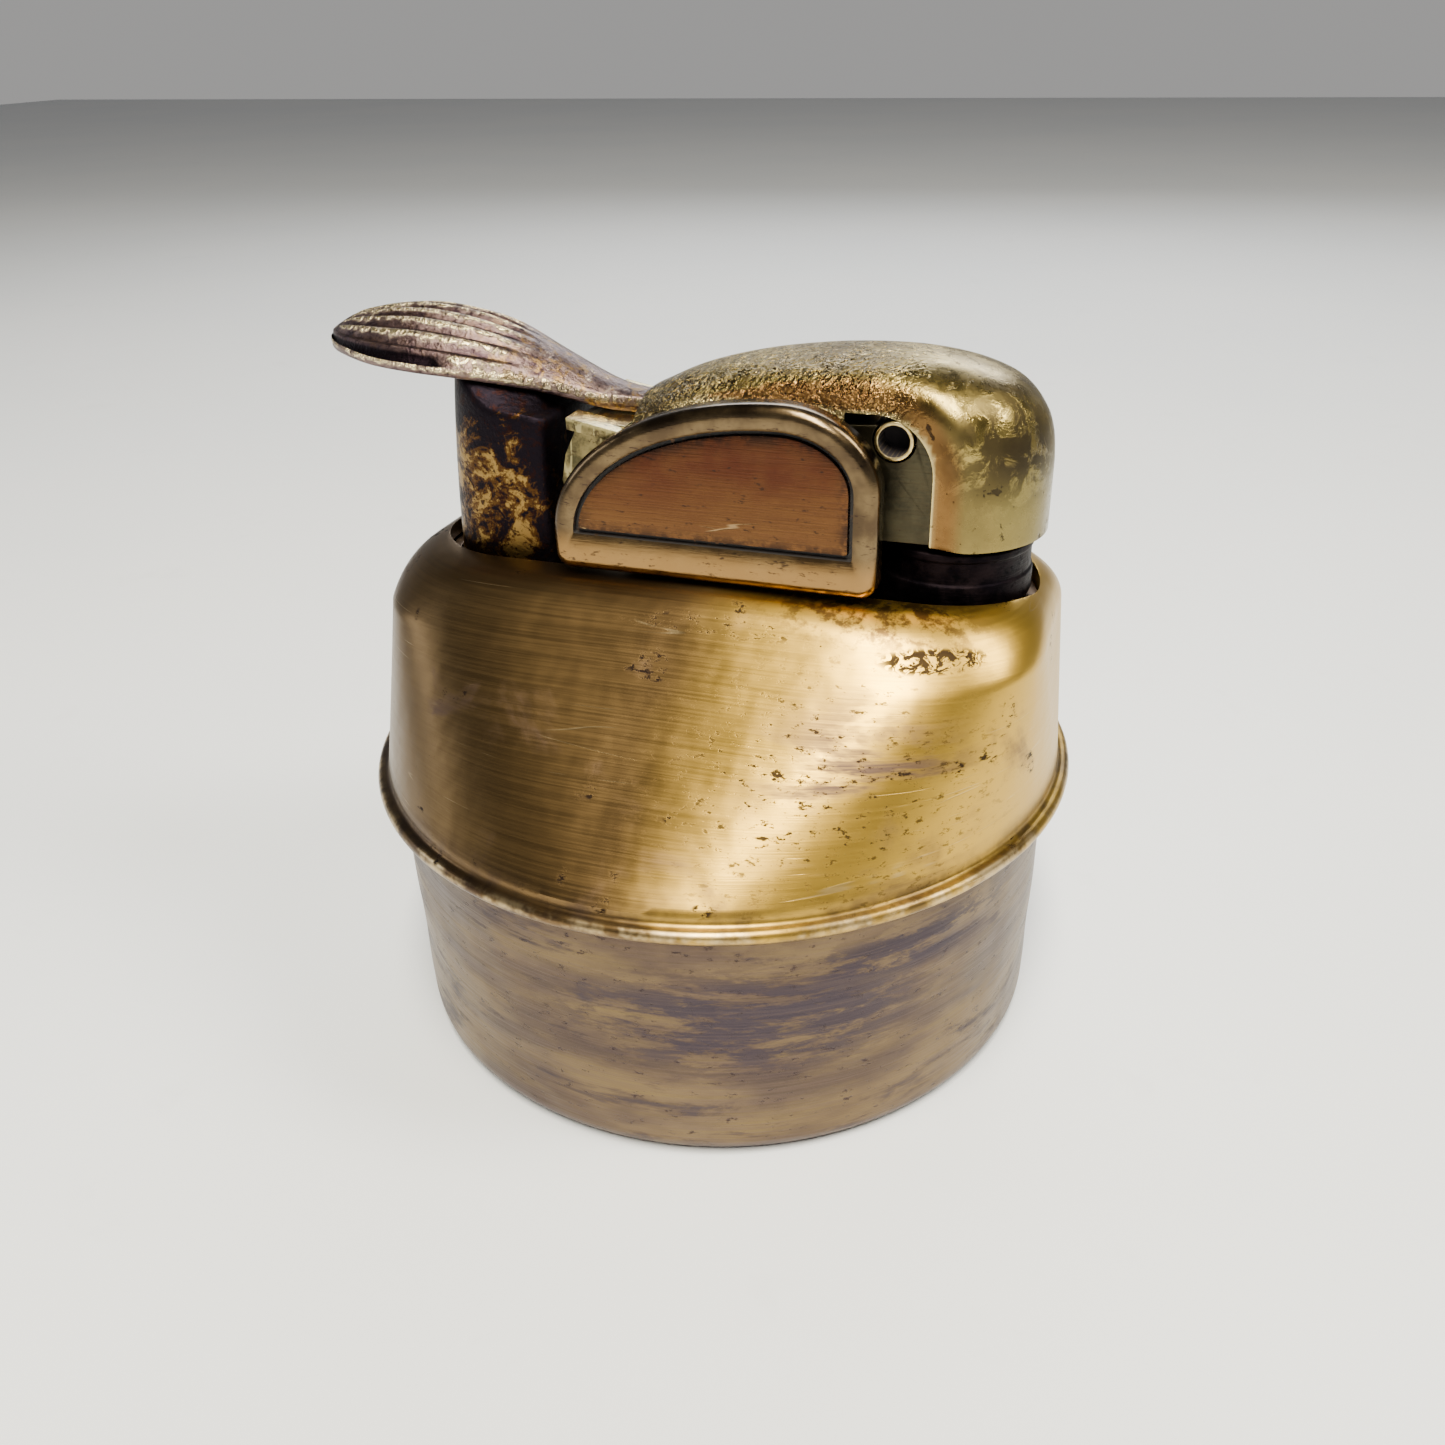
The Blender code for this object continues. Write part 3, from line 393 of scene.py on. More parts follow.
    def emboss(self, height, distance):
        """Raise the surface by height times distance in millimetres, over what is there."""
        inputs = {"Distance": distance * MM, "Strength": 1.0, "Height": height}
        if self.normal is not None:
            inputs["Normal"] = self.normal
        self.normal = self.node("Bump", inputs).outputs["Normal"]

    def finish(self, rough, metal=1.0, spec=None):
        self.link(self.colour, self.shader.inputs["Base Color"])
        self.link(rough, self.shader.inputs["Roughness"])
        self.link(metal, self.shader.inputs["Metallic"])
        if self.normal is not None:
            self.link(self.normal, self.shader.inputs["Normal"])
        if spec is not None:
            self.link(spec, self.shader.inputs["Specular IOR Level"])
        return self.mat


def most(nodes, *masks):
    """The largest of several masks."""
    value = masks[0]
    for mask in masks[1:]:
        value = nodes.math("MAXIMUM", value, mask)
    return value


def brush_lines(n, fine=13.0, along=0.05):
    """Level brush lines: fine up the height, long round the object."""
    coarse = n.streaks((along, along, fine * 0.35), 2.0, 0.6)
    thin = n.streaks((along * 2.4, along * 2.4, fine), 2.0, 0.6)
    return coarse * 0.3 + thin * 0.7


def specks(n, scale, size, density, patch=0.12, low=0.45, high=0.62):
    """Small ragged dark pits, gathered where a broad noise is high; density is the least share."""
    wobble = n.noise(scale * 2.2, 3.0, 0.7)
    dots = n.step(n.cells(scale) + wobble * 0.45, size + 0.16, size + 0.08)
    where = n.blots((patch, 3.0, 0.6), low, high)
    return dots * most(n, where, density)


def scratches(n, turn, scale, thin=0.06, seed=0.0):
    """Sparse thin straight scratches in one direction."""
    turned_place = n.stretch(n.place, (scale * 0.05, scale * 0.05, scale), turn)
    line = n.noise(1.0, 1.0, 0.4, n.shift(turned_place, seed + 0.01, 1.0))
    near_middle = abs(line - 0.5)
    mask = n.step(near_middle, thin * 0.08, thin * 0.02)
    where = n.noise(0.22, 2.0, 0.5, n.shift(n.place, seed + 3.1, 1.0))
    return mask * n.step(where, 0.56, 0.66)


# ---- materials ---------------------------------------------------------------
def body_brass():
    """Brushed olive-bronze brass with pits, purple stains and worn bright edges."""
    n = Nodes("body_brass")
    lines = brush_lines(n)
    cloud = n.noise(0.09, 4.0, 0.6)
    n.colour = n.mix(n.step(cloud, 0.35, 0.68), (0.21, 0.128, 0.05), (0.29, 0.178, 0.066))
    # Painted shade: the left part of the dome is painted darker where less light falls.
    left = n.rise("X", 1.0, -14.0)
    n.paint(left * 0.7, (0.1, 0.066, 0.032))
    n.paint(n.step(lines, 0.38, 0.6, 0.25, 0.0), (0.09, 0.055, 0.025))
    # Painted highlight: the right part of the dome, under the lamps' reflected band, is painted bright
    # yellow.
    right = n.step(n.axis("X") + cloud * 4.0, 2.0, 9.0)
    n.paint(right * 0.9, (0.6, 0.37, 0.05))
    stains_and_streak = n.step(n.noise(0.16, 5.0, 0.62, distort=0.4), 0.55, 0.72) * 0.6
    # A dark diagonal streak is laid down the right of the front facet and joined to the stain patches.
    diagonal = n.stretch(n.place, (0.1, 0.1, 0.42), (0.0, 0.75, 0.0))
    streak = n.near((11.8, -12.5, 21.0), (5.5, 5.5, 4.6), 0.5)
    streak = streak * n.step(n.noise(1.0, 5.0, 0.65, diagonal, 0.3), 0.46, 0.6)
    stains_and_streak = most(n, stains_and_streak, streak * 0.9)
    stains_and_streak = stains_and_streak * n.step(lines, 0.25, 0.6, 0.6, 1.0)
    n.paint(stains_and_streak, (0.085, 0.055, 0.06))
    crease = n.rise("Z", BEAD_Z + 2.0, BEAD_Z + 0.4)
    grime = crease * n.blots((0.5, 4.0, 0.6), 0.35, 0.65, 0.3, 1.0)
    n.paint(grime * 0.75, (0.06, 0.04, 0.032))
    bead = n.rise("Z", BEAD_Z - 0.25, BEAD_Z + 0.05) * n.rise("Z", BEAD_Z + 0.45, BEAD_Z + 0.3)
    bead = bead * n.blots((0.35, 4.0, 0.7), 0.42, 0.62)
    n.paint(bead * 0.7, (0.66, 0.5, 0.27))
    rust = n.near((11.5, -7.4, DOME_TOP_Z - 0.2), (6.0, 2.2, 1.3), 0.5)
    rust = rust * n.blots((0.8, 5.0, 0.7), 0.42, 0.56)
    n.paint(rust * 0.85, (0.055, 0.026, 0.016))
    flecks = n.streaks((1.3, 1.3, 3.2), 5.0, 0.75)
    grit = n.near((9.5, -13, 21.5), (8.5, 8.5, 5.5), 0.6) * n.step(flecks, 0.565, 0.62)
    edge_grit = n.near((3, -8.8, DOME_TOP_Z - 1.0), (5, 2, 0.5), 0.4) * n.step(flecks, 0.54, 0.6)
    islands = n.blots((0.32, 2.0, 0.5), 0.63, 0.67) * n.step(flecks, 0.5, 0.58)
    pits = most(n, specks(n, 1.6, 0.125, 0.16), grit, edge_grit, islands)
    scribble = n.near((14.6, -9.3, 27.2), (2.7, 3.2, 0.5), 0.2)
    squiggle = n.step(n.noise(1.5, 4.0, 0.7, distort=1.4), 0.47, 0.52)
    pits = most(n, pits, scribble * squiggle)
    n.paint(pits * 0.95, (0.014, 0.009, 0.009))
    hair = most(n, scratches(n, (0.5, 0.75, 0.3), 0.8),
                scratches(n, (-0.6, -0.9, 0.4), 0.7, seed=4.0))
    n.paint(hair * 0.35, (0.66, 0.5, 0.27))
    rough = n.step(lines, 0.3, 0.7, 0.31, 0.37)
    rough = rough + most(n, stains_and_streak, pits) * 0.25
    n.emboss(lines, 0.007)
    n.emboss(1.0 - pits, 0.002)
    n.emboss(hair, -0.006)
    n.emboss(n.noise(0.3, 2.0, 0.5), 0.08)
    n.brushed(0.4)
    return n.finish(rough)


def cup_brass():
    """Dull tan brass with level bands of dark purple tarnish."""
    n = Nodes("cup_brass")
    lines = brush_lines(n, 8.0, 0.06)
    cloud = n.streaks((0.1, 0.1, 0.34), 4.0, 0.6)
    n.colour = n.mix(n.step(cloud, 0.35, 0.65), (0.085, 0.061, 0.047), (0.19, 0.132, 0.062))
    n.paint(n.step(lines, 0.35, 0.7, 0.45, 0.0), (0.12, 0.08, 0.065))
    bands = n.streaks((0.1, 0.1, 0.42), 6.0, 0.7, 0.35)
    tarnish = n.step(bands, 0.54, 0.66, 0.0, 0.85)
    torn = n.streaks((0.22, 0.22, 0.95), 6.0, 0.75, 0.35)
    patch = n.near((8.0, -18, 9.6), (10.5, 8, 3.4), 0.5) * n.step(torn, 0.4, 0.54)
    upper = n.near((14.5, -13, 12.6), (7.0, 8, 1.5), 0.5) * n.step(torn, 0.42, 0.54)
    left = n.near((-17, -9, 11.5), (5, 7, 2.6), 0.6) * n.step(torn, 0.42, 0.56)
    tarnish = most(n, tarnish, patch, upper, left)
    tarnish = tarnish * n.step(lines, 0.2, 0.55, 0.6, 1.0)
    n.paint(tarnish * 0.92, (0.042, 0.031, 0.044))
    # Painted shade: the foot is painted darker towards the table.
    foot = n.rise("Z", 2.0, 0.3)
    n.paint(foot * 0.7, (0.07, 0.045, 0.04))
    rim = n.rise("Z", BEAD_Z - 2.6, BEAD_Z - 0.8)
    rim = rim * n.blots((0.6, 4.0, 0.7), 0.35, 0.6, 0.35, 1.0)
    n.paint(rim * 0.7, (0.075, 0.05, 0.045))
    pits = n.step(n.streaks((1.2, 1.2, 2.6), 5.0, 0.75), 0.6, 0.66, 0.0, 0.8)
    n.paint(pits, (0.04, 0.026, 0.03))
    rough = n.step(lines, 0.3, 0.7, 0.36, 0.46) + tarnish * 0.12
    n.emboss(lines, 0.02)
    n.emboss(n.noise(0.16, 2.0, 0.5), 0.3)
    n.emboss(1.0 - pits, 0.02)
    n.brushed(0.4)
    return n.finish(rough, n.step(tarnish, 0.2, 1.0, 1.0, 0.75))


def snuffer_brass():
    """Yellow-green brass with a crackled, pebbled skin that smooths out over the cap."""
    n = Nodes("snuffer_brass")
    wobble = n.noise(1.3, 4.0, 0.65)
    pebble = n.cells(1.9, "DISTANCE_TO_EDGE", n.shift(n.place, wobble, 1.1))
    fine = n.cells(3.9, "DISTANCE_TO_EDGE", n.shift(n.place, wobble, 0.8))
    smooth_end = n.rise("X", 8.5, 13.5, 1.0, 0.0)
    low_side = n.rise("Z", SHELL_HIGH.z - 5.0, SHELL_HIGH.z - 2.8)
    patchy = n.blots((0.5, 3.0, 0.6), 0.3, 0.6, 0.45, 1.0)
    skin_amount = smooth_end * low_side * patchy
    crack = n.step(pebble, 0.085, 0.0) * skin_amount
    fine_crack = n.step(fine, 0.1, 0.0) * skin_amount
    crack = most(n, crack, fine_crack * 0.75)
    n.colour = n.mix(n.blots((0.22, 4.0, 0.6), 0.35, 0.66), (0.2, 0.145, 0.045),
                     (0.38, 0.285, 0.085))
    n.paint(crack * 0.85, (0.065, 0.042, 0.02))
    n.paint(n.rise("Z", SHELL_HIGH.z - 3.0, SHELL_HIGH.z - 6.0) * 0.7, (0.13, 0.1, 0.038))
    # Painted highlight: a lighter patch on the lower right end of the cap.
    low_cap_highlight = n.near((18.2, -2.4, SHELL_HIGH.z - 7.0), (2.2, 3.4, 2.4), 0.35)
    n.paint(low_cap_highlight * 0.85, (0.2, 0.16, 0.055))
    n.paint(n.attribute("fillet") * 0.85, (0.2, 0.098, 0.032))
    n.paint(n.attribute("rim"), (0.7, 0.56, 0.25))
    blot = n.noise(0.62, 5.0, 0.7, distort=0.5)
    side = n.near((17.0, -3.5, SHELL_HIGH.z - 3.6), (3.6, 4.0, 2.6), 0.6)
    dark = n.step(blot, 0.4, 0.53) * (side * 0.95)
    sparse = n.step(blot, 0.62, 0.67) * n.rise("X", 5.0, 12.0, 0.2, 0.95)
    under = n.rise("Z", SHELL_HIGH.z - 1.6, SHELL_HIGH.z - 3.4) * n.rise("X", 13.0, 10.5)
    n.paint(under * n.blots((0.8, 4.0, 0.6), 0.3, 0.6, 0.5, 1.0), (0.13, 0.095, 0.04))
    spots = most(n, dark, sparse, specks(n, 1.5, 0.2, 0.55, 0.3))
    n.paint(spots * 0.88, (0.018, 0.014, 0.013))
    rough = n.blots((1.2, 3.0, 0.6), 0.3, 0.7, 0.2, 0.32) + spots * 0.25
    n.emboss(n.step(pebble, 0.0, 0.25) * skin_amount, 0.06)
    n.emboss(n.step(fine, 0.0, 0.2) * skin_amount, 0.025)
    n.emboss(1.0 - spots, 0.02)
    n.emboss(n.noise(0.5, 3.0, 0.5), 0.03)
    return n.finish(rough)


def cheek_brass():
    """Dull greenish brass, a little scuffed and pitted."""
    n = Nodes("cheek_brass")
    cloud = n.noise(0.5, 4.0, 0.6)
    n.colour = n.mix(n.step(cloud, 0.35, 0.65), (0.033, 0.03, 0.02), (0.075, 0.066, 0.04))
    lines = n.streaks((0.5, 0.5, 7.0), 2.0, 0.6)
    n.paint(n.step(lines, 0.3, 0.7, 0.35, 0.0), (0.06, 0.045, 0.025))
    pits = specks(n, 2.0, 0.16, 0.35, 0.4)
    n.paint(pits * 0.8, (0.03, 0.02, 0.018))
    n.emboss(lines, 0.015)
    n.emboss(cloud, 0.04)
    return n.finish(n.step(cloud, 0.3, 0.7, 0.32, 0.45))


def yoke_brass():
    """The yoke of the lever: brass painted dark for the shade on its body, with painted glint lines and
    a painted highlight along the folded tabs' tops.
    """
    n = Nodes("yoke_brass")
    cloud = n.noise(0.9, 4.0, 0.65)
    # Painted shade: the body's colours are kept dark for the shadow it stands in.
    n.colour = n.mix(n.step(cloud, 0.35, 0.65), (0.07, 0.06, 0.03), (0.24, 0.19, 0.085))
    # Painted glints: thin bright vertical lines on the shaded body.
    glint_lines = n.step(abs(n.noise(1.1, 0.0, 0.5, n.stretch(n.place, (1, 0, 0.1))) - 0.5), 0.035, 0.01)
    n.paint(glint_lines * 0.6, (0.5, 0.42, 0.2))
    # Painted highlight: the tops of the folded tabs are painted bright where light falls on them.
    top = n.axis("Z") + n.axis("X") * 0.19
    crest = BEAD_Z + 20.65 - 7.1 * 0.19
    worn = n.step(top, crest - 0.25, crest - 0.05)
    n.paint(worn, (0.36, 0.3, 0.13))
    n.paint(n.blots((2.4, 4.0, 0.7), 0.56, 0.64, 0.0, 0.8), (0.05, 0.035, 0.02))
    n.emboss(cloud, 0.04)
    return n.finish(n.step(worn, 0.0, 1.0, 0.36, 0.2))


def rivet_brass():
    """A hollow-ended rivet: a bright worn ring round a bore painted near-black for the shade inside it.
    """
    n = Nodes("rivet_brass")
    low, high = mm_box("snuffer_pin")
    middle = (low + high) / 2
    flat = n.stretch(n.place, (1.0, 0.0, 1.0))
    offset = (n.pick(flat, "X") - middle.x) ** 2.0 + (n.pick(flat, "Z") - middle.z) ** 2.0
    # Painted shade: the bore of the hollow pin is painted near-black, dull and not metallic.
    shaded_bore = n.step(offset, 0.72, 0.66)
    worn = n.noise(1.5, 4.0, 0.6)
    ring = n.mix(n.step(worn, 0.35, 0.65), (0.45, 0.33, 0.13), (0.8, 0.64, 0.3))
    n.colour = n.mix(shaded_bore, ring, (0.012, 0.008, 0.011))
    n.emboss(worn, 0.02)
    return n.finish(n.step(shaded_bore, 0.0, 1.0, 0.28, 0.8), n.step(shaded_bore, 0.0, 1.0, 1.0, 0.0))


def rim_brass():
    """The side plates" polished rim: smooth, with faint wear and brown toning."""
    n = Nodes("rim_brass")
    cloud = n.noise(0.35, 4.0, 0.6)
    n.colour = n.mix(n.step(cloud, 0.35, 0.68), (0.07, 0.047, 0.027), (0.17, 0.118, 0.06))
    n.paint(n.blots((1.3, 4.0, 0.65), 0.55, 0.72, 0.0, 0.5), (0.06, 0.038, 0.026))
    bottom = n.rise("Z", PLATE_LOW.z + 2.6, PLATE_LOW.z + 1.0)
    n.paint(bottom * 0.7, (0.34, 0.19, 0.062))
    nicks = n.step(n.streaks((1.4, 1.4, 4.0), 5.0, 0.75), 0.585, 0.64)
    n.paint(nicks * 0.8, (0.035, 0.022, 0.018))
    lines = brush_lines(n, 8.0, 0.3)
    n.emboss(lines, 0.01)
    n.emboss(n.noise(0.6, 3.0, 0.5), 0.03)
    return n.finish(n.step(cloud, 0.3, 0.7, 0.18, 0.27))


def panel_brass():
    """The sunk panel: level brushing over coppery orange brass, with scratches."""
    n = Nodes("panel_brass")
    lines = brush_lines(n, 11.0, 0.12)
    height = n.rise("Z", PLATE_LOW.z + 2.2, PLATE_HIGH.z - 3.2)
    n.colour = n.mix(height, (0.15, 0.072, 0.028), (0.08, 0.025, 0.015))
    n.paint(n.blots((0.25, 4.0, 0.6), 0.35, 0.65, 0.0, 0.4), (0.17, 0.085, 0.03))
    n.paint(n.step(lines, 0.35, 0.7, 0.5, 0.0), (0.06, 0.024, 0.014))
    hair = most(n, scratches(n, (0.2, 0.6, 0.2), 1.4, 0.09),
                scratches(n, (0.1, -0.9, 0.0), 1.2, 0.08, 5.0))
    n.paint(hair * 0.5, (0.44, 0.3, 0.15))
    edge = n.step(n.attribute("edge"), 0.15, 1.0)
    edge = edge * n.blots((1.4, 5.0, 0.75), 0.4, 0.56)
    specked = n.step(n.streaks((1.4, 1.4, 3.0), 5.0, 0.75), 0.61, 0.66)
    dark = most(n, specked, edge)
    n.paint(dark * 0.88, (0.03, 0.018, 0.014))
    n.emboss(lines, 0.015)
    n.emboss(hair, -0.008)
    n.brushed(0.4)
    return n.finish(n.step(lines, 0.3, 0.7, 0.22, 0.33))


def groove_black():
    """The filled line engraved round each panel."""
    n = Nodes("groove_black")
    worn = n.blots((1.6, 4.0, 0.7), 0.6, 0.7)
    n.colour = n.mix(worn, (0.01, 0.008, 0.008), (0.14, 0.08, 0.045))
    n.emboss(n.noise(3.0), 0.02)
    return n.finish(n.step(worn, 0.0, 1.0, 0.62, 0.4), worn)


def pad_brass():
    """Oxidised purple-grey brass whose rib crests are worn through to gold."""
    n = Nodes("pad_brass")
    cloud = n.noise(0.8, 5.0, 0.65)
    n.colour = n.mix(n.step(cloud, 0.35, 0.65), (0.05, 0.031, 0.036), (0.13, 0.085, 0.08))
    crest = n.attribute("crest")
    ragged = n.noise(1.9, 5.0, 0.72, n.stretch(n.place, (0.5, 1.0, 1.0)))
    worn = crest + (ragged - 0.5) * 2.2
    bare = n.step(worn, 0.42, 0.8)
    n.paint(n.step(worn, 0.1, 0.5, 0.0, 0.7), (0.22, 0.155, 0.14))
    beads = n.step(n.streaks((2.6, 1.2, 1.2), 3.0, 0.6), 0.42, 0.52, 0.12, 1.0)
    bare = bare * beads
    n.paint(bare * n.rise("X", -9.0, -13.0, 0.45, 1.0), (0.95, 0.78, 0.44))
    neck = n.step(n.noise(1.3, 5.0, 0.72, distort=0.5), 0.5, 0.6)
    neck = neck * n.rise("X", -15.0, -8.0, 0.1, 0.9)
    n.paint(neck, (0.26, 0.155, 0.055))
    dark = n.blots((3.0, 4.0, 0.75), 0.56, 0.64, 0.0, 0.85)
    n.paint(dark, (0.02, 0.012, 0.016))
    gutter = n.step(crest, -0.1, -0.7)
    n.paint(gutter, (0.008, 0.005, 0.007))
    rough = n.step(bare, 0.0, 1.0, 0.36, 0.24)
    n.emboss(n.noise(2.6, 4.0, 0.7), 0.07)
    n.emboss(n.noise(7.0, 3.0, 0.6), 0.02)
    n.emboss(bare, 0.05)
    return n.finish(rough)


def mottled_brass():
    """The skirt: near-black tarnish above, breaking into ochre patches lower down."""
    n = Nodes("mottled_brass")
    patches = n.noise(0.62, 6.0, 0.72, distort=0.6)
    grain = n.noise(2.4, 4.0, 0.7)
    height = n.rise("Z", SKIRT_HIGH.z - 1.0, SKIRT_HIGH.z - 7.5)
    value = patches * 0.75 + grain * 0.25
    value = value + height * 0.15
    shade = n.rise("X", -10.4, -8.6, 0.0, 0.1)
    value = value - shade
    bare = n.step(value, 0.585, 0.63)
    n.colour = n.mix(bare, (0.01, 0.0075, 0.011), (0.075, 0.034, 0.01))
    n.paint(n.step(value, 0.645, 0.7), (0.3, 0.185, 0.055))
    n.paint(n.blots((1.9, 5.0, 0.75), 0.53, 0.6, 0.0, 0.92), (0.02, 0.008, 0.007))
    n.emboss(patches, 0.08)
    n.emboss(grain, 0.05)
    return n.finish(n.step(bare, 0.0, 1.0, 0.5, 0.36))


def plain_metal(name, low, high, rough, dirt, dirt_amount=0.5, scale=0.8, grain=0.03):
    """A metal in two tones with dirt in patches, for small fittings."""
    n = Nodes(name)
    cloud = n.noise(scale, 4.0, 0.62)
    n.colour = n.mix(n.step(cloud, 0.35, 0.66), low, high)
    spots = n.blots((scale * 2.6, 5.0, 0.7), 0.53, 0.66, 0.0, dirt_amount)
    n.paint(spots, dirt)
    lines = n.streaks((1.0, 1.0, 9.0), 2.0, 0.6)
    n.emboss(cloud, grain * 2)
    n.emboss(lines, grain)
    return n.finish(n.step(cloud, 0.3, 0.7, rough, rough + 0.12) + spots * 0.2)


def fibre_material(name, low, high, scale, depth):
    """Matted fibres for cotton, felt and gasket board."""
    n = Nodes(name)
    strands = n.noise(scale, 6.0, 0.75, distort=1.2)
    n.colour = n.mix(n.step(strands, 0.3, 0.7), low, high)
    n.emboss(strands, depth)
    return n.finish(0.95, 0.0, 0.2)


def wick_weave():
    """Plaited cotton: slanting strands, charred at the top."""
    n = Nodes("wick_weave")
    left = n.streaks((1.6, 1.6, 3.4), 1.0, 0.5, turn=(0.7, 0.0, 0.0))
    right = n.streaks((1.6, 1.6, 3.4), 1.0, 0.5, turn=(-0.7, 0.0, 0.0))
    strands = most(n, left, right)
    n.colour = n.mix(n.step(strands, 0.4, 0.65), (0.45, 0.36, 0.24), (0.8, 0.74, 0.62))
    char = n.rise("Z", BURNER_HIGH.z - 1.2, BURNER_HIGH.z + 0.6)
    n.paint(char, (0.02, 0.018, 0.017))
    n.emboss(strands, 0.12)
    return n.finish(0.95, 0.0, 0.2)


BODY = body_brass()
CUP = cup_brass()
SNUFFER = snuffer_brass()
CHEEK = cheek_brass()
RIM = rim_brass()
PANEL = panel_brass()
GROOVE = groove_black()
PAD = pad_brass()
MOTTLED = mottled_brass()
RIVET = rivet_brass()
YOKE = yoke_brass()
BRIGHT = plain_metal("bright_brass", (0.42, 0.30, 0.10), (0.72, 0.55, 0.22), 0.22,
                     (0.09, 0.055, 0.03), 0.7)
SOOTY = plain_metal("sooty_brass", (0.0045, 0.0035, 0.005), (0.016, 0.011, 0.013), 0.5,
                    (0.003, 0.003, 0.004), 0.8)
DARK = plain_metal("dark_brass", (0.07, 0.045, 0.032), (0.15, 0.10, 0.06), 0.42,
                   (0.025, 0.016, 0.014), 0.6)
STEEL = plain_metal("steel", (0.18, 0.17, 0.165), (0.34, 0.33, 0.31), 0.32, (0.08, 0.045, 0.03),
                    0.6, 1.2)
FLINT_METAL = plain_metal("flint_metal", (0.10, 0.095, 0.09), (0.20, 0.19, 0.18), 0.55,
                          (0.05, 0.045, 0.04), 0.5, 2.0)
COTTON = fibre_material("cotton", (0.62, 0.57, 0.47), (0.88, 0.85, 0.78), 1.6, 0.30)
FELT = fibre_material("felt", (0.44, 0.40, 0.34), (0.66, 0.62, 0.54), 2.2, 0.20)
FIBRE = fibre_material("fibre", (0.28, 0.09, 0.06), (0.48, 0.19, 0.13), 4.0, 0.05)
WICK = wick_weave()


# ---- cup and dome ------------------------------------------------------------
def base_cup():
    """The cup: a turned shell with a rounded foot, a flat bottom and slight dents."""
    bottom_r, top_r, rim = CUP_R_TOP - 0.17, CUP_R_TOP, CUP_HIGH.z
    inner = top_r - SHEET
    foot = 1.3
    profile = [(0.0, 0.0), (bottom_r - foot, 0.0)]
    profile += arc((bottom_r - foot, foot), (foot, foot), -90, 0, 9, first=1)
    profile += [(bottom_r + (top_r - bottom_r) * k / 24, foot + (rim - 0.2 - foot) * k / 24)
                for k in range(1, 25)]
    profile += [(top_r - 0.06, rim - 0.05), (top_r - 0.2, rim), (inner, rim), (inner, 1.0), (0.0, 1.0)]
    count = 192
    rings = []
    for r, z in profile:
        ring = []
        for i in range(count):
            a = tau * (i + 0.5) / count
            dent = 0.0
            if r > inner + 0.1 and 1.0 < z < rim - 1:
                dent = 0.05 * sin(3 * a + 0.6 * z) * sin(0.35 * z + 1.3)
                dent += 0.03 * sin(7 * a - 0.4 * z)
                dent *= ease(1.0, 4.0, z) * ease(rim - 1, rim - 3.5, z)
            ring.append(((r + dent - 0.03) * cos(a), (r + dent - 0.03) * sin(a), z)
                        if r > 1 else (0.0, 0.0, z))
        rings.append(ring)
    cup = skin("base_cup_turned", rings, [CUP], "housing", ("base_cup",))
    tools = []
    for label, x, r in (("filler", FILLER_X, 3.4), ("flint", FLINT_X, 2.7)):
        tools.append(tool_prism(label + "_tool", disc(x, 0.0, r, 64), -2.0, 2.5, "Z"))
    cut(cup, tools, 0.12)


def soft_sign(value, softness):
    """The value raised to a power, with its sign kept."""
    return (1 if value >= 0 else -1) * abs(value) ** softness


DOME_BASE_R = BEAD_R - 0.75
DOME_LENGTH = 19.2
DOME_DEPTH = 8.1
DOME_OFFSET_X = 0.3
END_ROUND = 2.8
FRONT_ROUND = 0.9
BOW = 0.22


def dome_wall(shrink, top_z, base_z, count, levels, turns):
    """Rings of the lofted wall from the round base up and over the rounded top edge."""
    end_round, front_round = END_ROUND - shrink, max(FRONT_ROUND - shrink, 0.1)
    length, depth = DOME_LENGTH - shrink, DOME_DEPTH - shrink
    base_r = DOME_BASE_R - shrink * 1.15
    angles = [tau * (i + 0.5) / count for i in range(count)]
    slope = (base_r - depth) / (top_z - base_z)

    def top_ring(angle):
        end_in = end_round * (1 - cos(angle))
        z = top_z - end_round + end_round * sin(angle)
        flat = top_z - front_round
        tilt = 0.0
        if z > flat:
            tilt = front_round - sqrt(max(front_round ** 2 - (z - flat) ** 2, 0.0))
        front = depth + slope * (top_z - z) - tilt
        corner = 6.4
        return [(DOME_OFFSET_X + (length - end_in - corner) * soft_sign(cos(a), BOW) + corner * cos(a),
                 (front - corner) * soft_sign(sin(a), 0.12) + corner * sin(a), z) for a in angles]

    base = [(base_r * cos(a), base_r * sin(a), base_z) for a in angles]
    foot = top_ring(0.0)
    rings = []
    for k in range(levels + 1):
        share = k / levels
        rings.append([tuple(p + (q - p) * share for p, q in zip(a, b)) for a, b in zip(base, foot)])
    rings += [top_ring(radians(90 * k / turns)) for k in range(1, turns + 1)]
    return rings


def stadium(half_length, half_width, centre_x, steps=40):
    """An outline with two straight sides and two round ends."""
    straight, radii = half_length - half_width, (half_width, half_width)
    return (arc((centre_x + straight, 0.0), radii, -90, 90, steps)
            + arc((centre_x - straight, 0.0), radii, 90, 270, steps))


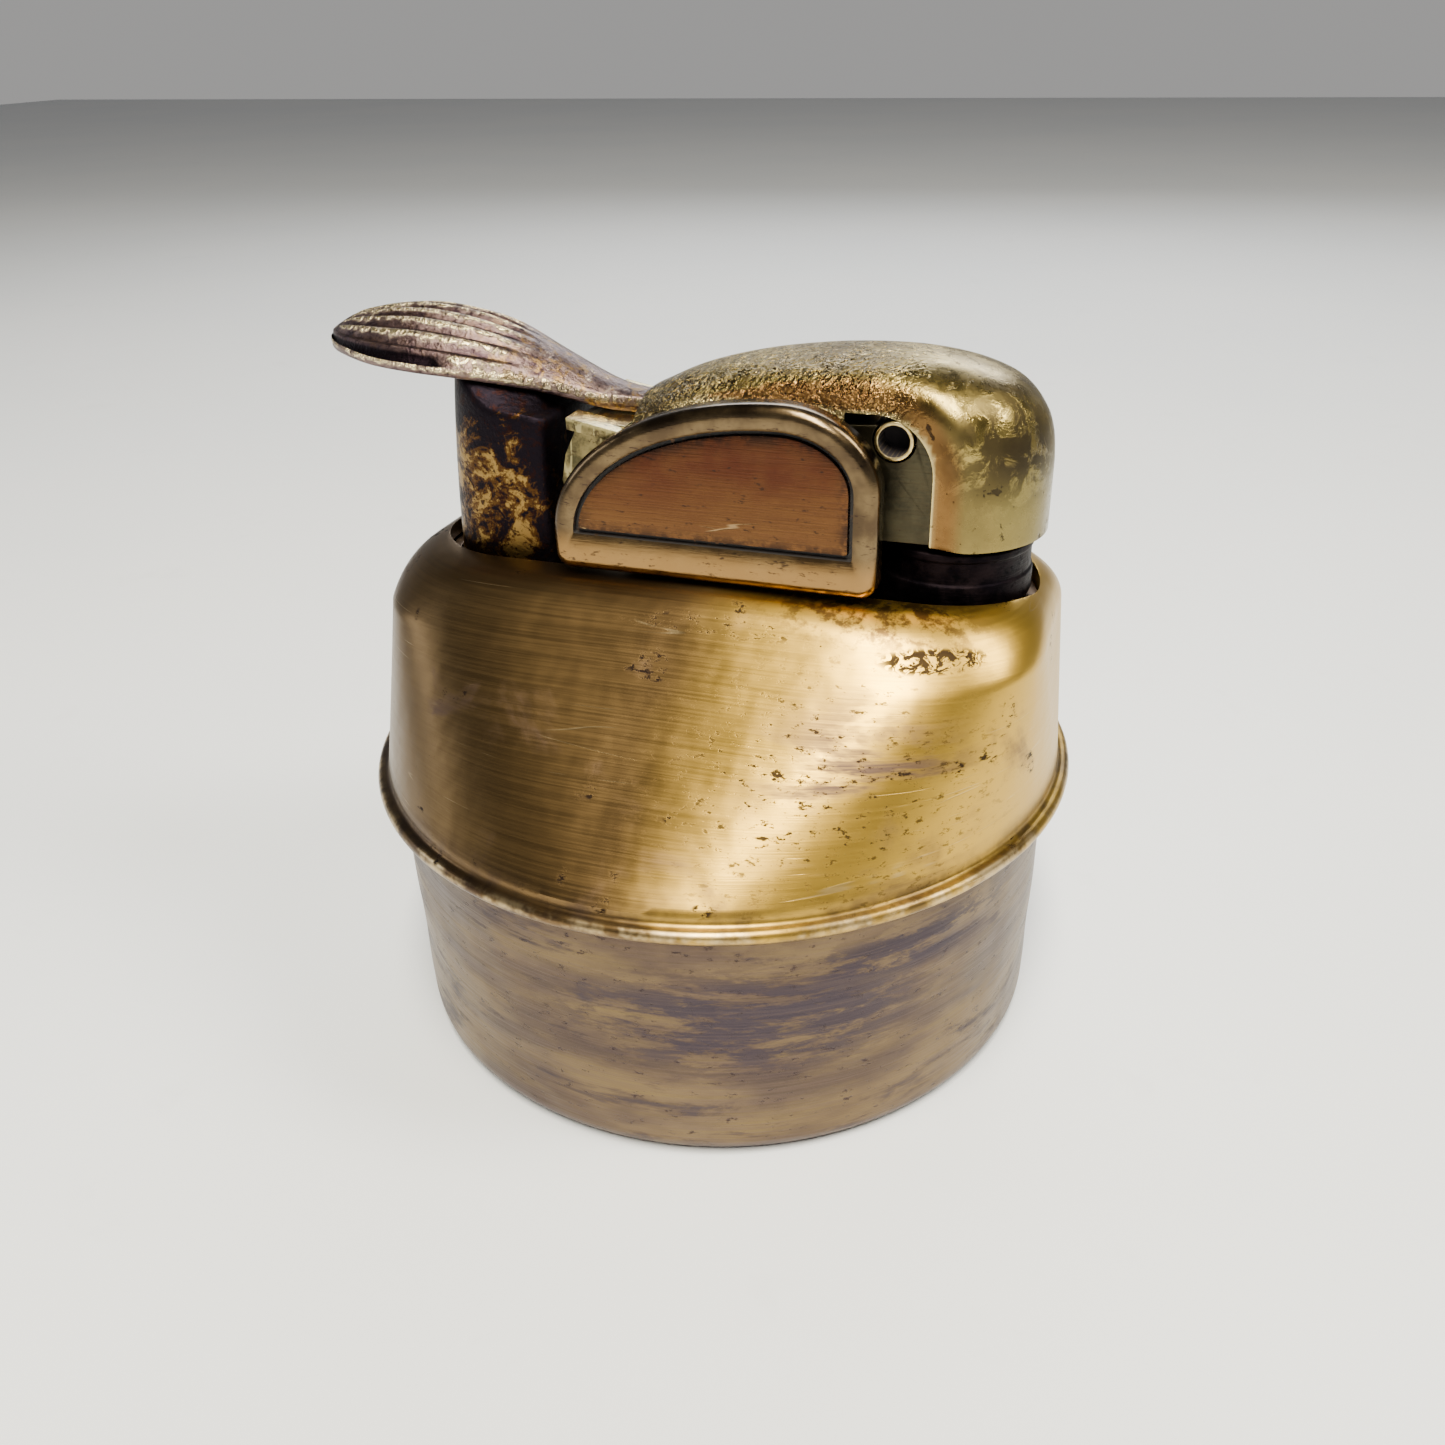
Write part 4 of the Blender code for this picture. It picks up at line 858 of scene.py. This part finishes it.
def dome():
    """The dome and its rolled bead, with the mechanism's slot cut through the top."""
    count = 320
    outer = dome_wall(0.0, DOME_TOP_Z, BEAD_Z + 0.95, count, 30, 16)
    inner = dome_wall(SHEET, DOME_TOP_Z - SHEET, BEAD_Z + 0.4, count, 6, 5)
    spigot = CUP_R_TOP - SHEET - 0.3
    roll = 0.42
    bead = [(spigot, -3.2), (spigot, -roll), (BEAD_R - roll, -roll)]
    bead += arc((BEAD_R - roll, 0.0), (roll, roll), -75, 75, 10)
    bead += [(DOME_BASE_R + 0.30, 0.42), (DOME_BASE_R + 0.14, 0.47), (DOME_BASE_R + 0.05, 0.58),
             (DOME_BASE_R + 0.01, 0.75)]
    outside = [circle(r, count, "Z", BEAD_Z + z) for r, z in bead] + outer
    outside.append([(0.0, 0.0, DOME_TOP_Z)] * count)
    inside = [[(0.0, 0.0, DOME_TOP_Z - SHEET)] * count] + inner[::-1]
    inside += [circle(spigot - 0.6, count, "Z", BEAD_Z + z) for z in (-0.4, -3.2)]
    verts = [p for r in outside + inside for p in r]
    bands = [(k, k + 1) for k in range(len(outside) - 1)]
    first_in = len(outside)
    bands += [(first_in + k, first_in + k + 1) for k in range(len(inside) - 1)]
    bands.append((first_in + len(inside) - 1, 0))
    shell = mesh_object("dome_pressed", verts, band_faces(bands, count), [BODY], "housing",
                        ("dome_shell",))
    slot = tool_prism("slot_tool", stadium(17.7, 5.5, 0.8), DOME_TOP_Z - 6, DOME_TOP_Z + 3, "Z")
    cut(shell, [slot], 0.14)


# ---- side plates -------------------------------------------------------------
CREST_X = 5.5
SWEEP_Z = BEAD_Z + 15.0
PLATE_SHOULDER = 4.35


def half_moon(inset, floor_inset, arc_steps=56):
    """The side plate's outline: a long sweep on the left, a tight one on the right."""
    left_a, left_b = CREST_X - PLATE_LOW.x - inset, PLATE_HIGH.z - SWEEP_Z - inset
    right_a, right_b = PLATE_HIGH.x - CREST_X - inset, PLATE_SHOULDER - inset
    corner = max(0.9 - inset, 0.12)
    low = PLATE_LOW.z + floor_inset
    right = CREST_X + right_a
    start = asin(max(low + corner - SWEEP_Z, 0.0) / left_b)
    left = CREST_X - left_a * cos(start)
    corner_r = (corner, corner)
    points = arc((left + corner, low + corner), corner_r, 270, 180, 8)
    rise = max(SWEEP_Z - low - corner, 0.0)
    for k in range(1, 5):
        points.append((left, low + corner + rise * k / 5 + 1e-4 * k))
    for k in range(1, arc_steps):
        a = start + (pi / 2 - start) * k / arc_steps
        points.append((CREST_X - left_a * cos(a), SWEEP_Z + left_b * sin(a)))
    shoulder = PLATE_HIGH.z - inset - right_b
    points += arc((CREST_X, shoulder), (right_a, right_b), 90, 0, 30)
    for k in range(1, 6):
        points.append((right, shoulder + (low + corner - shoulder) * k / 6))
    points += arc((right - corner, low + corner), corner_r, 0, -90, 8)
    for k in range(1, 10):
        points.append((right - corner + (left - right + 2 * corner) * k / 10, low))
    return points


def side_plates():
    """Half-moon plates: a rounded polished rim, an engraved line, a sunk brushed panel."""
    face, back = abs(PLATE_LOW.y), abs(PLATE_HIGH.y)
    edge_r = 0.62
    steps = [(0.12, 0.12, back, 0), (0.0, 0.0, back + 0.12, 0)]
    for k in range(9):
        a = radians(90 * k / 8)
        inset = edge_r * (1 - cos(a))
        steps.append((inset, inset, face - edge_r + edge_r * sin(a), 0))
    steps += [(0.85, 1.25, face - 0.005, 0), (1.12, 1.90, face - 0.04, 0), (1.27, 2.12, face - 0.11, 0),
              (1.32, 2.18, face - 0.42, 2), (1.50, 2.36, face - 0.42, 2), (1.55, 2.42, face - 0.16, 1),
              (1.75, 2.62, face - 0.13, 1), (2.6, 3.3, face - 0.13, 1), (3.3, 3.9, face - 0.13, 1)]

    def edge_wear(x, _, z):
        """1 at the panel's edge, down to 0 one millimetre inside it."""
        near = min(x - PLATE_LOW.x - 1.5, PLATE_HIGH.x - 1.5 - x, z - PLATE_LOW.z - 2.3)
        return 1.0 - min(max(min(near, half_moon_top(x) - 1.5 - z), 0.0), 1.0)

    for name, node, side in (("front_plate_pressed", "front_side_plate", -1),
                             ("rear_plate_pressed", "rear_side_plate", 1)):
        rings = [[(x, side * y, z) for x, z in half_moon(inset, low)] for inset, low, y, _ in steps]
        bands = [s[3] for s in steps[1:]]
        plate = skin(name, rings, [RIM, PANEL, GROOVE], "housing", (node,),
                     bands=bands, crease=50)
        mark(plate, "edge", edge_wear)


def half_moon_top(x):
    """Height of the plate's outline above x."""
    if x < CREST_X:
        share = min(abs(CREST_X - x) / (CREST_X - PLATE_LOW.x), 1.0)
        return SWEEP_Z + (PLATE_HIGH.z - SWEEP_Z) * sqrt(1 - share ** 2)
    share = min((x - CREST_X) / (PLATE_HIGH.x - CREST_X), 1.0)
    return PLATE_HIGH.z - PLATE_SHOULDER + PLATE_SHOULDER * sqrt(1 - share ** 2)


# ---- snuffer -----------------------------------------------------------------
SHELL_BACK = ((-3.5, 21.6), (-0.8, 22.8), (2.6, 23.7), (6.5, 24.25), (10.2, 24.4), (12.8, 24.2),
              (15.2, 23.65), (16.8, 22.9), (18.0, 21.6), (18.45, 20.4), (18.6, 19.2))
WINDOW_RIGHT = 13.1
WINDOW_TOP = BEAD_Z + 22.0
WINDOW_CORNER = 3.1


def window_gap(x, z):
    """Distance outwards from the window's arched edge; negative inside it."""
    cx, cz = WINDOW_RIGHT - WINDOW_CORNER, WINDOW_TOP - WINDOW_CORNER
    if x > cx and z > cz:
        return sqrt((x - cx) ** 2 + (z - cz) ** 2) - WINDOW_CORNER
    return max(x - WINDOW_RIGHT, z - WINDOW_TOP)


def shell_section(x, inset, steps):
    """One arch of the shell across Y at x, from the front foot over the back to the rear."""
    back = BEAD_Z + smooth_through(SHELL_BACK, x)[0] - inset
    end = max(x - WICK_X, 0.0)
    reach = SHELL_HIGH.x - WICK_X - inset
    half = (SHELL_HIGH.y - inset) * sqrt(max(1 - (end / reach) ** 2, 0.0))
    low = SHELL_LOW.z + 0.7 * min(max((10.5 - x) / 6.5, 0.0), 1.0)
    shoulder = max(back - 3.4, low + 0.2)
    points = []
    side = 14
    for k in range(side):
        points.append((x, -half, low + (shoulder - low) * k / side))
    for k in range(steps + 1):
        a = pi * k / steps
        bulge = 2 / 2.4
        y = -half * (1 if cos(a) >= 0 else -1) * abs(cos(a)) ** bulge
        points.append((x, y, shoulder + (back - shoulder) * sin(a) ** bulge))
    for k in range(side):
        points.append((x, half, shoulder + (low - shoulder) * (k + 1) / side))
    return points


def snuffer_shell():
    """The shell: its sides are drawn inwards to the edge of an arched window."""
    sheet = 0.5
    left = SHELL_LOW.x
    xs = [left + (WICK_X - left) * k / 74 for k in range(75)]
    ends = [90 * k / 26 for k in range(1, 27)]

    def stations(inset):
        reach = SHELL_HIGH.x - WICK_X - inset
        return xs + [WICK_X + reach * sin(radians(a)) for a in ends]

    def draw_in(point, depth):
        """Pull a side wall towards the cheek near the window, like a pressed-in edge."""
        x, y, z = point
        gap = window_gap(x, z)
        if gap < 2.1 and abs(y) > 1.0:
            pull = depth * ease(2.1, 0.1, gap) * ease(1.0, 3.0, abs(y))
            y -= pull if y > 0 else -pull
        return x, y, z

    rings = []
    for outer_x, inner_x in zip(stations(0.0), stations(sheet)):
        outside = [draw_in(p, 0.55) for p in shell_section(outer_x, 0.0, 44)]
        inside = [draw_in(p, 0.16) for p in shell_section(inner_x, sheet, 44)]
        rings.append(outside + inside[::-1])
    shell = skin("snuffer_shell_pressed", rings, [SNUFFER], "snuffer",
                 ("snuffer_shell",), caps=(0,))
    cx, cz = WINDOW_RIGHT - WINDOW_CORNER, WINDOW_TOP - WINDOW_CORNER
    window = [(8.4, SHELL_LOW.z - 1.0), (WINDOW_RIGHT, SHELL_LOW.z - 1.0)]
    window += arc((cx, cz), (WINDOW_CORNER, WINDOW_CORNER), 0, 90, 15)
    window.append((8.4, WINDOW_TOP))
    tools = [tool_prism("window_front", window, -6.0, -3.9),
             tool_prism("window_rear", window, 3.9, 6.0)]
    tools.append(tool_prism("pivot_hole", disc(*SNUFFER_AXIS, 0.87, 40), -7.0, 7.0))
    cut(shell, tools, 0.09, 50)
    for name, far, close in (("fillet", 1.9, 0.9), ("rim", 0.16, 0.04)):
        mark(shell, name,
             lambda x, y, z: ease(far, close, window_gap(x, z)) if abs(y) > 3.6 else 0.0)


# ---- thumb lever -------------------------------------------------------------
PAD_PLAN = ((-23.6, 23.75, 0.15, 0.05), (-23.1, 24.2, 1.7, 0.35), (-21.6, 24.9, 3.4, 1.1),
            (-19.0, 25.35, 4.5, 1.9), (-16.2, 25.4, 4.75, 2.2), (-12.6, 24.7, 4.1, 1.9),
            (-9.0, 23.1, 2.5, 1.1), (-6.0, 21.75, 1.6, 0.5), (-3.9, 21.3, 1.05, 0.25))
PAD_SHEET = 0.85
RIBS = 9


def pad_shape(x):
    """The pad's crown height, half width and drop at its edge, at x."""
    crown, half, drop = smooth_through(PAD_PLAN, x)
    return BEAD_Z + crown, half, drop


def pad_under(x, y):
    """Height of the pad's underside."""
    crown, half, drop = pad_shape(x)
    share = min(abs(y) / half, 1.15)
    return crown - drop * share ** 2 - PAD_SHEET


def thumb_pad():
    """A crowned leaf with lengthwise ribs that fade into the neck, and a rounded lip."""
    across, along = 110, 150
    left, right = PAD_LOW.x, PAD_HIGH.x
    rings, crests = [], []
    for i in range(along + 1):
        t = i / along
        x = left + (right - left) * (t ** 1.5 if t < 0.15 else t + (0.15 ** 1.5 - 0.15)
                                     * (1 - t) / 0.85)
        crown, half, drop = pad_shape(x)
        rib_amount = ease(-23.3, -21.5, x) * ease(-9.5, -13.5, x)
        top, marks = [], []
        for k in range(across + 1):
            s = -1 + 2 * k / across
            wave = 0.5 + 0.5 * cos(pi * RIBS * s)
            edge = ease(1.0, 0.9, abs(s))
            rib = 0.26 * (wave ** 0.7 - 1.0) * rib_amount * edge
            lip = 0.28 * (1 - sqrt(max(1 - ease(0.9, 1.0, abs(s)) ** 2, 0.0)))
            gutter = 0.42 * ease(0.82, 0.89, abs(s)) * ease(0.985, 0.94, abs(s)) * ease(-13.5, -15.5, x)
            gutter *= ease(-23.5, -22.8, x)
            top.append((x, s * half, crown - drop * s * s + rib - lip - gutter))
            marks.append(wave ** 1.3 * rib_amount * edge + 0.3 * (1 - rib_amount) + 0.75 * (1 - edge)
                         - 5 * gutter)
        sheet = PAD_SHEET * min(1.0, half / 1.0)
        under, under_marks = [], []
        for k in range(across, -1, -1):
            s = -1 + 2 * k / across
            lip = 0.28 * (1 - sqrt(max(1 - ease(0.9, 1.0, abs(s)) ** 2, 0.0)))
            under.append((x, s * half * 0.985, crown - drop * s * s - sheet + lip))
            under_marks.append(0.0)
        rings.append(top + under)
        crests.append(marks + under_marks)
    pad = skin("thumb_pad_cast", rings, [PAD], "lever", ("thumb_pad",), crease=60)
    lookup = {}
    for ring, marks in zip(rings, crests):
        for p, m in zip(ring, marks):
            lookup[tuple(round(c, 3) for c in p)] = m
    mark(pad, "crest", lambda *point: lookup.get(tuple(round(c, 3) for c in point), 0.0))


SKIRT_SHEET = 0.6
SKIRT_END_SOFTNESS = 2 / 2.8


def skirt_plan(inset, level, steps=36):
    """The skirt in plan: a round end to the left, slightly tapered sides to the right."""
    lean = 0.9 * max(level, 0.0) ** 2
    half = SKIRT_HIGH.y - inset
    centre_x, reach = -11.05 + lean * 0.5, 4.7 - lean * 0.5 - inset
    right, corner = SKIRT_HIGH.x - inset, 0.7
    plan = []
    for k in range(9):
        a = radians(-90 + 180 * k / 8)
        y = (half - 0.15 - corner) * (1 if a >= 0 else -1) + corner * sin(a)
        plan.append((right - corner + corner * cos(a), y))
    for k in range(steps + 1):
        a = radians(90 + 180 * k / steps)
        plan.append((centre_x + reach * soft_sign(cos(a), SKIRT_END_SOFTNESS),
                     half * soft_sign(sin(a), SKIRT_END_SOFTNESS)))
    return plan


def thumb_skirt():
    """A hollow skirt, open below, whose roof follows the pad's underside."""
    def ring(inset, level, shrink, roof_drop, flare=0.0):
        middle = (-11.4, 0.0)
        points = []
        for x, y in skirt_plan(inset + flare, level):
            x, y = middle[0] + (x - middle[0]) * shrink, y * shrink
            roof = pad_under(x, y) - 0.3 - roof_drop
            points.append((x, y, SKIRT_LOW.z + (roof - SKIRT_LOW.z) * level))
        return points

    outer = [ring(0.0, 0.0, 1.0, 0.0, 0.12)]
    outer += [ring(0.0, k / 20 + 0.01 * (k == 0), 1.0, 0.0) for k in range(20)]
    outer += [ring(0.0, 0.985, 1.0, 0.0, 0.03), ring(0.0, 1.0, 1.0, 0.0, 0.15)]
    outer += [ring(0.15, 1.0, s, 0.0) for s in (0.8, 0.5, 0.25, 0.0)]
    inner = [ring(SKIRT_SHEET, 1.0, s, SKIRT_SHEET) for s in (0.0, 0.25, 0.5, 0.8, 1.0)]
    inner += [ring(SKIRT_SHEET, k / 10, 1.0, SKIRT_SHEET) for k in range(9, -1, -1)]
    rings = outer + inner
    count = len(rings[0])
    verts = [p for r in rings for p in r]
    bands = [(k, k + 1) for k in range(len(rings) - 1) if k != len(outer) - 1] + [(len(rings) - 1, 0)]
    mesh_object("thumb_skirt_pressed", verts, band_faces(bands, count), [MOTTLED], "lever",
                ("thumb_skirt",))


# ---- burner, wick, springs and the carried-over CAD nodes --------------------
def burner():
    """The burner cup's dark ring and lip, with the plaited wick inside."""
    rim = BURNER_HIGH.z - 1.3
    foot = BURNER_LOW.z
    profile = [(3.4, foot), (3.4, DOME_TOP_Z - 0.8), (4.3, DOME_TOP_Z - 0.8), (4.3, DOME_TOP_Z + 0.5),
               (4.18, DOME_TOP_Z + 0.62), (4.18, rim - 0.5), (4.28, rim - 0.4), (4.28, rim), (3.6, rim),
               (3.6, rim + 1.3), (3.1, rim + 1.3), (3.1, rim - 3.0), (2.65, rim - 3.0), (2.65, foot)]
    turned("burner_cup_turned", fillet(profile, 0.14), [SOOTY], "housing",
           ("burner_cup",), 128, centre=(WICK_X, 0.0), loop=True)
    low, high = mm_box("wick")
    rings = []
    count, tall = 72, 110
    for k in range(tall + 1):
        z = low.z + (high.z - low.z) * k / tall
        fray = 1 - 0.35 * ease(high.z - 0.7, high.z, z)
        ring = []
        for i in range(count):
            a = tau * i / count
            plait = 0.07 * max(sin(6 * a + 2.2 * z), sin(6 * a - 2.2 * z))
            r = (1.40 + plait) * fray
            ring.append((WICK_X + r * cos(a), r * sin(a), z))
        rings.append(ring)
    skin("wick_plaited", rings, [WICK], "housing", ("wick",))


def coil(name, node, path_r, wire, turns, low, high, axis, centre, steps=40, sides=10):
    """A round-wire spring with closed end turns."""
    rings = []
    total = int(turns * steps)
    for k in range(total + 1):
        t = k / total
        a = tau * k / steps
        close = 0.9 / turns
        pitch = t + 0.5 * close * (sin(tau * t) / tau) * -1.0
        along = low + wire + (high - low - 2 * wire) * pitch
        ring = []
        for s in range(sides):
            b = tau * s / sides
            r, q = path_r + wire * cos(b), along + wire * sin(b)
            u, v = centre[0] + r * cos(a), centre[1] + r * sin(a)
            ring.append((u, v, q) if axis == "Z" else (u, q, v))
        rings.append(ring)
    return skin(name, rings, [STEEL], "housing", (node,))


def springs():
    """The three springs: two are shortened by their joints, the snuffer's keeps its shape."""
    low, high = mm_box("return_spring")
    middle = (low + high) / 2
    wire = 0.25
    spring = coil("return_spring_wire", "return_spring", (high.x - low.x) / 2 - wire, wire, 5,
                  low.z, high.z, "Z", (middle.x, 0.0))
    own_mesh(spring)
    low, high = mm_box("flint_spring")
    spring = coil("flint_spring_wire", "flint_spring", 0.95, 0.15, 16, low.z, high.z, "Z",
                  (FLINT_X, 0.0))
    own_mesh(spring)
    low, high = mm_box("snuffer_spring")
    coil("snuffer_spring_wire", "snuffer_spring", 1.22, 0.16, 6, low.y, high.y, "Y", SNUFFER_AXIS)


def dress_nodes():
    """Give every carried-over CAD node its material and slightly rounded edges."""
    looks = {
        STEEL: ("mechanism_frame", "frame_screw_front", "frame_screw_rear", "lever_axle", "snuffer_axle",
                "wheel_axle", "ratchet_pawl", "spring_seat", "flint_wheel", "ratchet_wheel",
                "lift_stud_front", "lift_stud_rear"),
        YOKE: ("lever_yoke",),
        BRIGHT: ("wick_tube", "flint_tube", "filler_bush", "filler_screw", "flint_screw",
                 "flint_plunger", "snuffer_inner_cap"),
        RIVET: ("snuffer_pin",),
        CHEEK: ("snuffer_arm",),
        DARK: ("well_pan",),
        COTTON: ("cotton_wadding",),
        FELT: ("felt_pad",),
        FIBRE: ("filler_gasket",),
        FLINT_METAL: ("flint",),
    }
    fine = {"snuffer_pin": 0.05, "flint_wheel": 0.03, "ratchet_wheel": 0.04, "flint": 0.06}
    for mat, names in looks.items():
        for name in names:
            node = frame["nodes"][name]
            node.data.materials.clear()
            node.data.materials.append(mat)
            weld = node.modifiers.new("weld", "WELD")
            weld.merge_threshold = 2e-6
            bevel = node.modifiers.new("edges", "BEVEL")
            bevel.width = fine.get(name, 0.1) * MM
            bevel.segments = 2
            bevel.limit_method = "ANGLE"
            bevel.angle_limit = radians(40)
            node.data.shade_smooth()
            normal = node.modifiers.new("normals", "WEIGHTED_NORMAL")
            normal.keep_sharp = True


# ---- room, light and camera --------------------------------------------------
def room():
    """A pale table top, faintly smudged."""
    n = Nodes("pale_table")
    n.colour = n.mix(n.blots((0.012, 3.0, 0.5), 0.3, 0.7), (0.85, 0.88, 0.92), (0.89, 0.91, 0.94))
    n.paint(n.blots((0.1, 5.0, 0.65), 0.6, 0.72, 0.0, 0.1), (0.55, 0.55, 0.56))
    n.finish(0.38, 0.0, 0.4)
    size = 900
    corners = [(-size, -size, 0), (size, -size, 0), (size, size, 0), (-size, size, 0)]
    floor = mesh_object("floor", corners, [(0, 1, 2, 3)], [n.mat], None)
    floor.location.z = -0.02 * MM


def softbox(name, place, target, size, power, colour=(1, 1, 1)):
    """A rectangular area light aimed at a point; all in millimetres."""
    data = bpy.data.lights.new(name, "AREA")
    data.shape = "RECTANGLE"
    data.size, data.size_y = size[0] * MM, size[1] * MM
    data.energy = power
    data.color = colour
    light = bpy.data.objects.new(name, data)
    light.location = Vector(place) * MM
    aim = (Vector(target) - Vector(place)).normalized()
    light.rotation_euler = aim.to_track_quat("-Z", "Y").to_euler()
    bpy.context.collection.objects.link(light)


def lights():
    """Four softboxes, the first of which lays the warm band down the dome, and a grey sky."""
    middle = (0, 0, 20)
    softbox("band_box", (40, -150, 335), middle, (66, 230), 3.2, (1.0, 0.94, 0.78))
    softbox("right_box", (225, 10, 280), middle, (90, 170), 1.0, (1.0, 0.95, 0.82))
    softbox("back_box", (-40, 300, 200), middle, (260, 90), 0.6, (0.96, 0.98, 1.0))
    softbox("left_box", (-300, -60, 120), middle, (70, 130), 0.12, (0.94, 0.97, 1.0))
    world = bpy.data.worlds.new("studio")
    bpy.context.scene.world = world
    world.use_nodes = True
    tree = world.node_tree
    back = tree.nodes["Background"]
    coords = tree.nodes.new("ShaderNodeTexCoord")
    split = tree.nodes.new("ShaderNodeSeparateXYZ")
    ramp = tree.nodes.new("ShaderNodeValToRGB")
    tree.links.new(coords.outputs["Generated"], split.inputs[0])
    tree.links.new(split.outputs["Z"], ramp.inputs[0])
    tree.links.new(ramp.outputs[0], back.inputs["Color"])
    ramp.color_ramp.elements[0].color = (0.36, 0.355, 0.35, 1)
    ramp.color_ramp.elements[0].position = 0.15
    ramp.color_ramp.elements[1].color = (0.10, 0.10, 0.10, 1)
    ramp.color_ramp.elements[1].position = 0.6
    back.inputs["Strength"].default_value = 1.0


CAMERA_PLACE = (23.91, -67.52, 56.15)
CAMERA_LENS = 32.39
CAMERA_PITCH = 0.0064
CAMERA_ROLL = -0.0233


def camera():
    """The camera looks down on the front from the right, with a slight roll."""
    data = bpy.data.cameras.new("camera")
    data.sensor_width = 36
    data.lens = CAMERA_LENS
    data.clip_start = 0.001
    cam = bpy.data.objects.new("camera", data)
    place = Vector(CAMERA_PLACE) * MM
    aim = Vector((0, 0, BEAD_Z)) * MM - place
    turn = aim.to_track_quat("-Z", "Y").to_matrix()
    tilt = Matrix.Rotation(CAMERA_PITCH, 3, "X") @ Matrix.Rotation(CAMERA_ROLL, 3, "Z")
    cam.matrix_world = Matrix.Translation(place) @ (turn @ tilt).to_4x4()
    bpy.context.collection.objects.link(cam)
    bpy.context.scene.camera = cam


base_cup()
dome()
side_plates()
snuffer_shell()
thumb_pad()
thumb_skirt()
burner()
springs()
dress_nodes()
room()
lights()
camera()
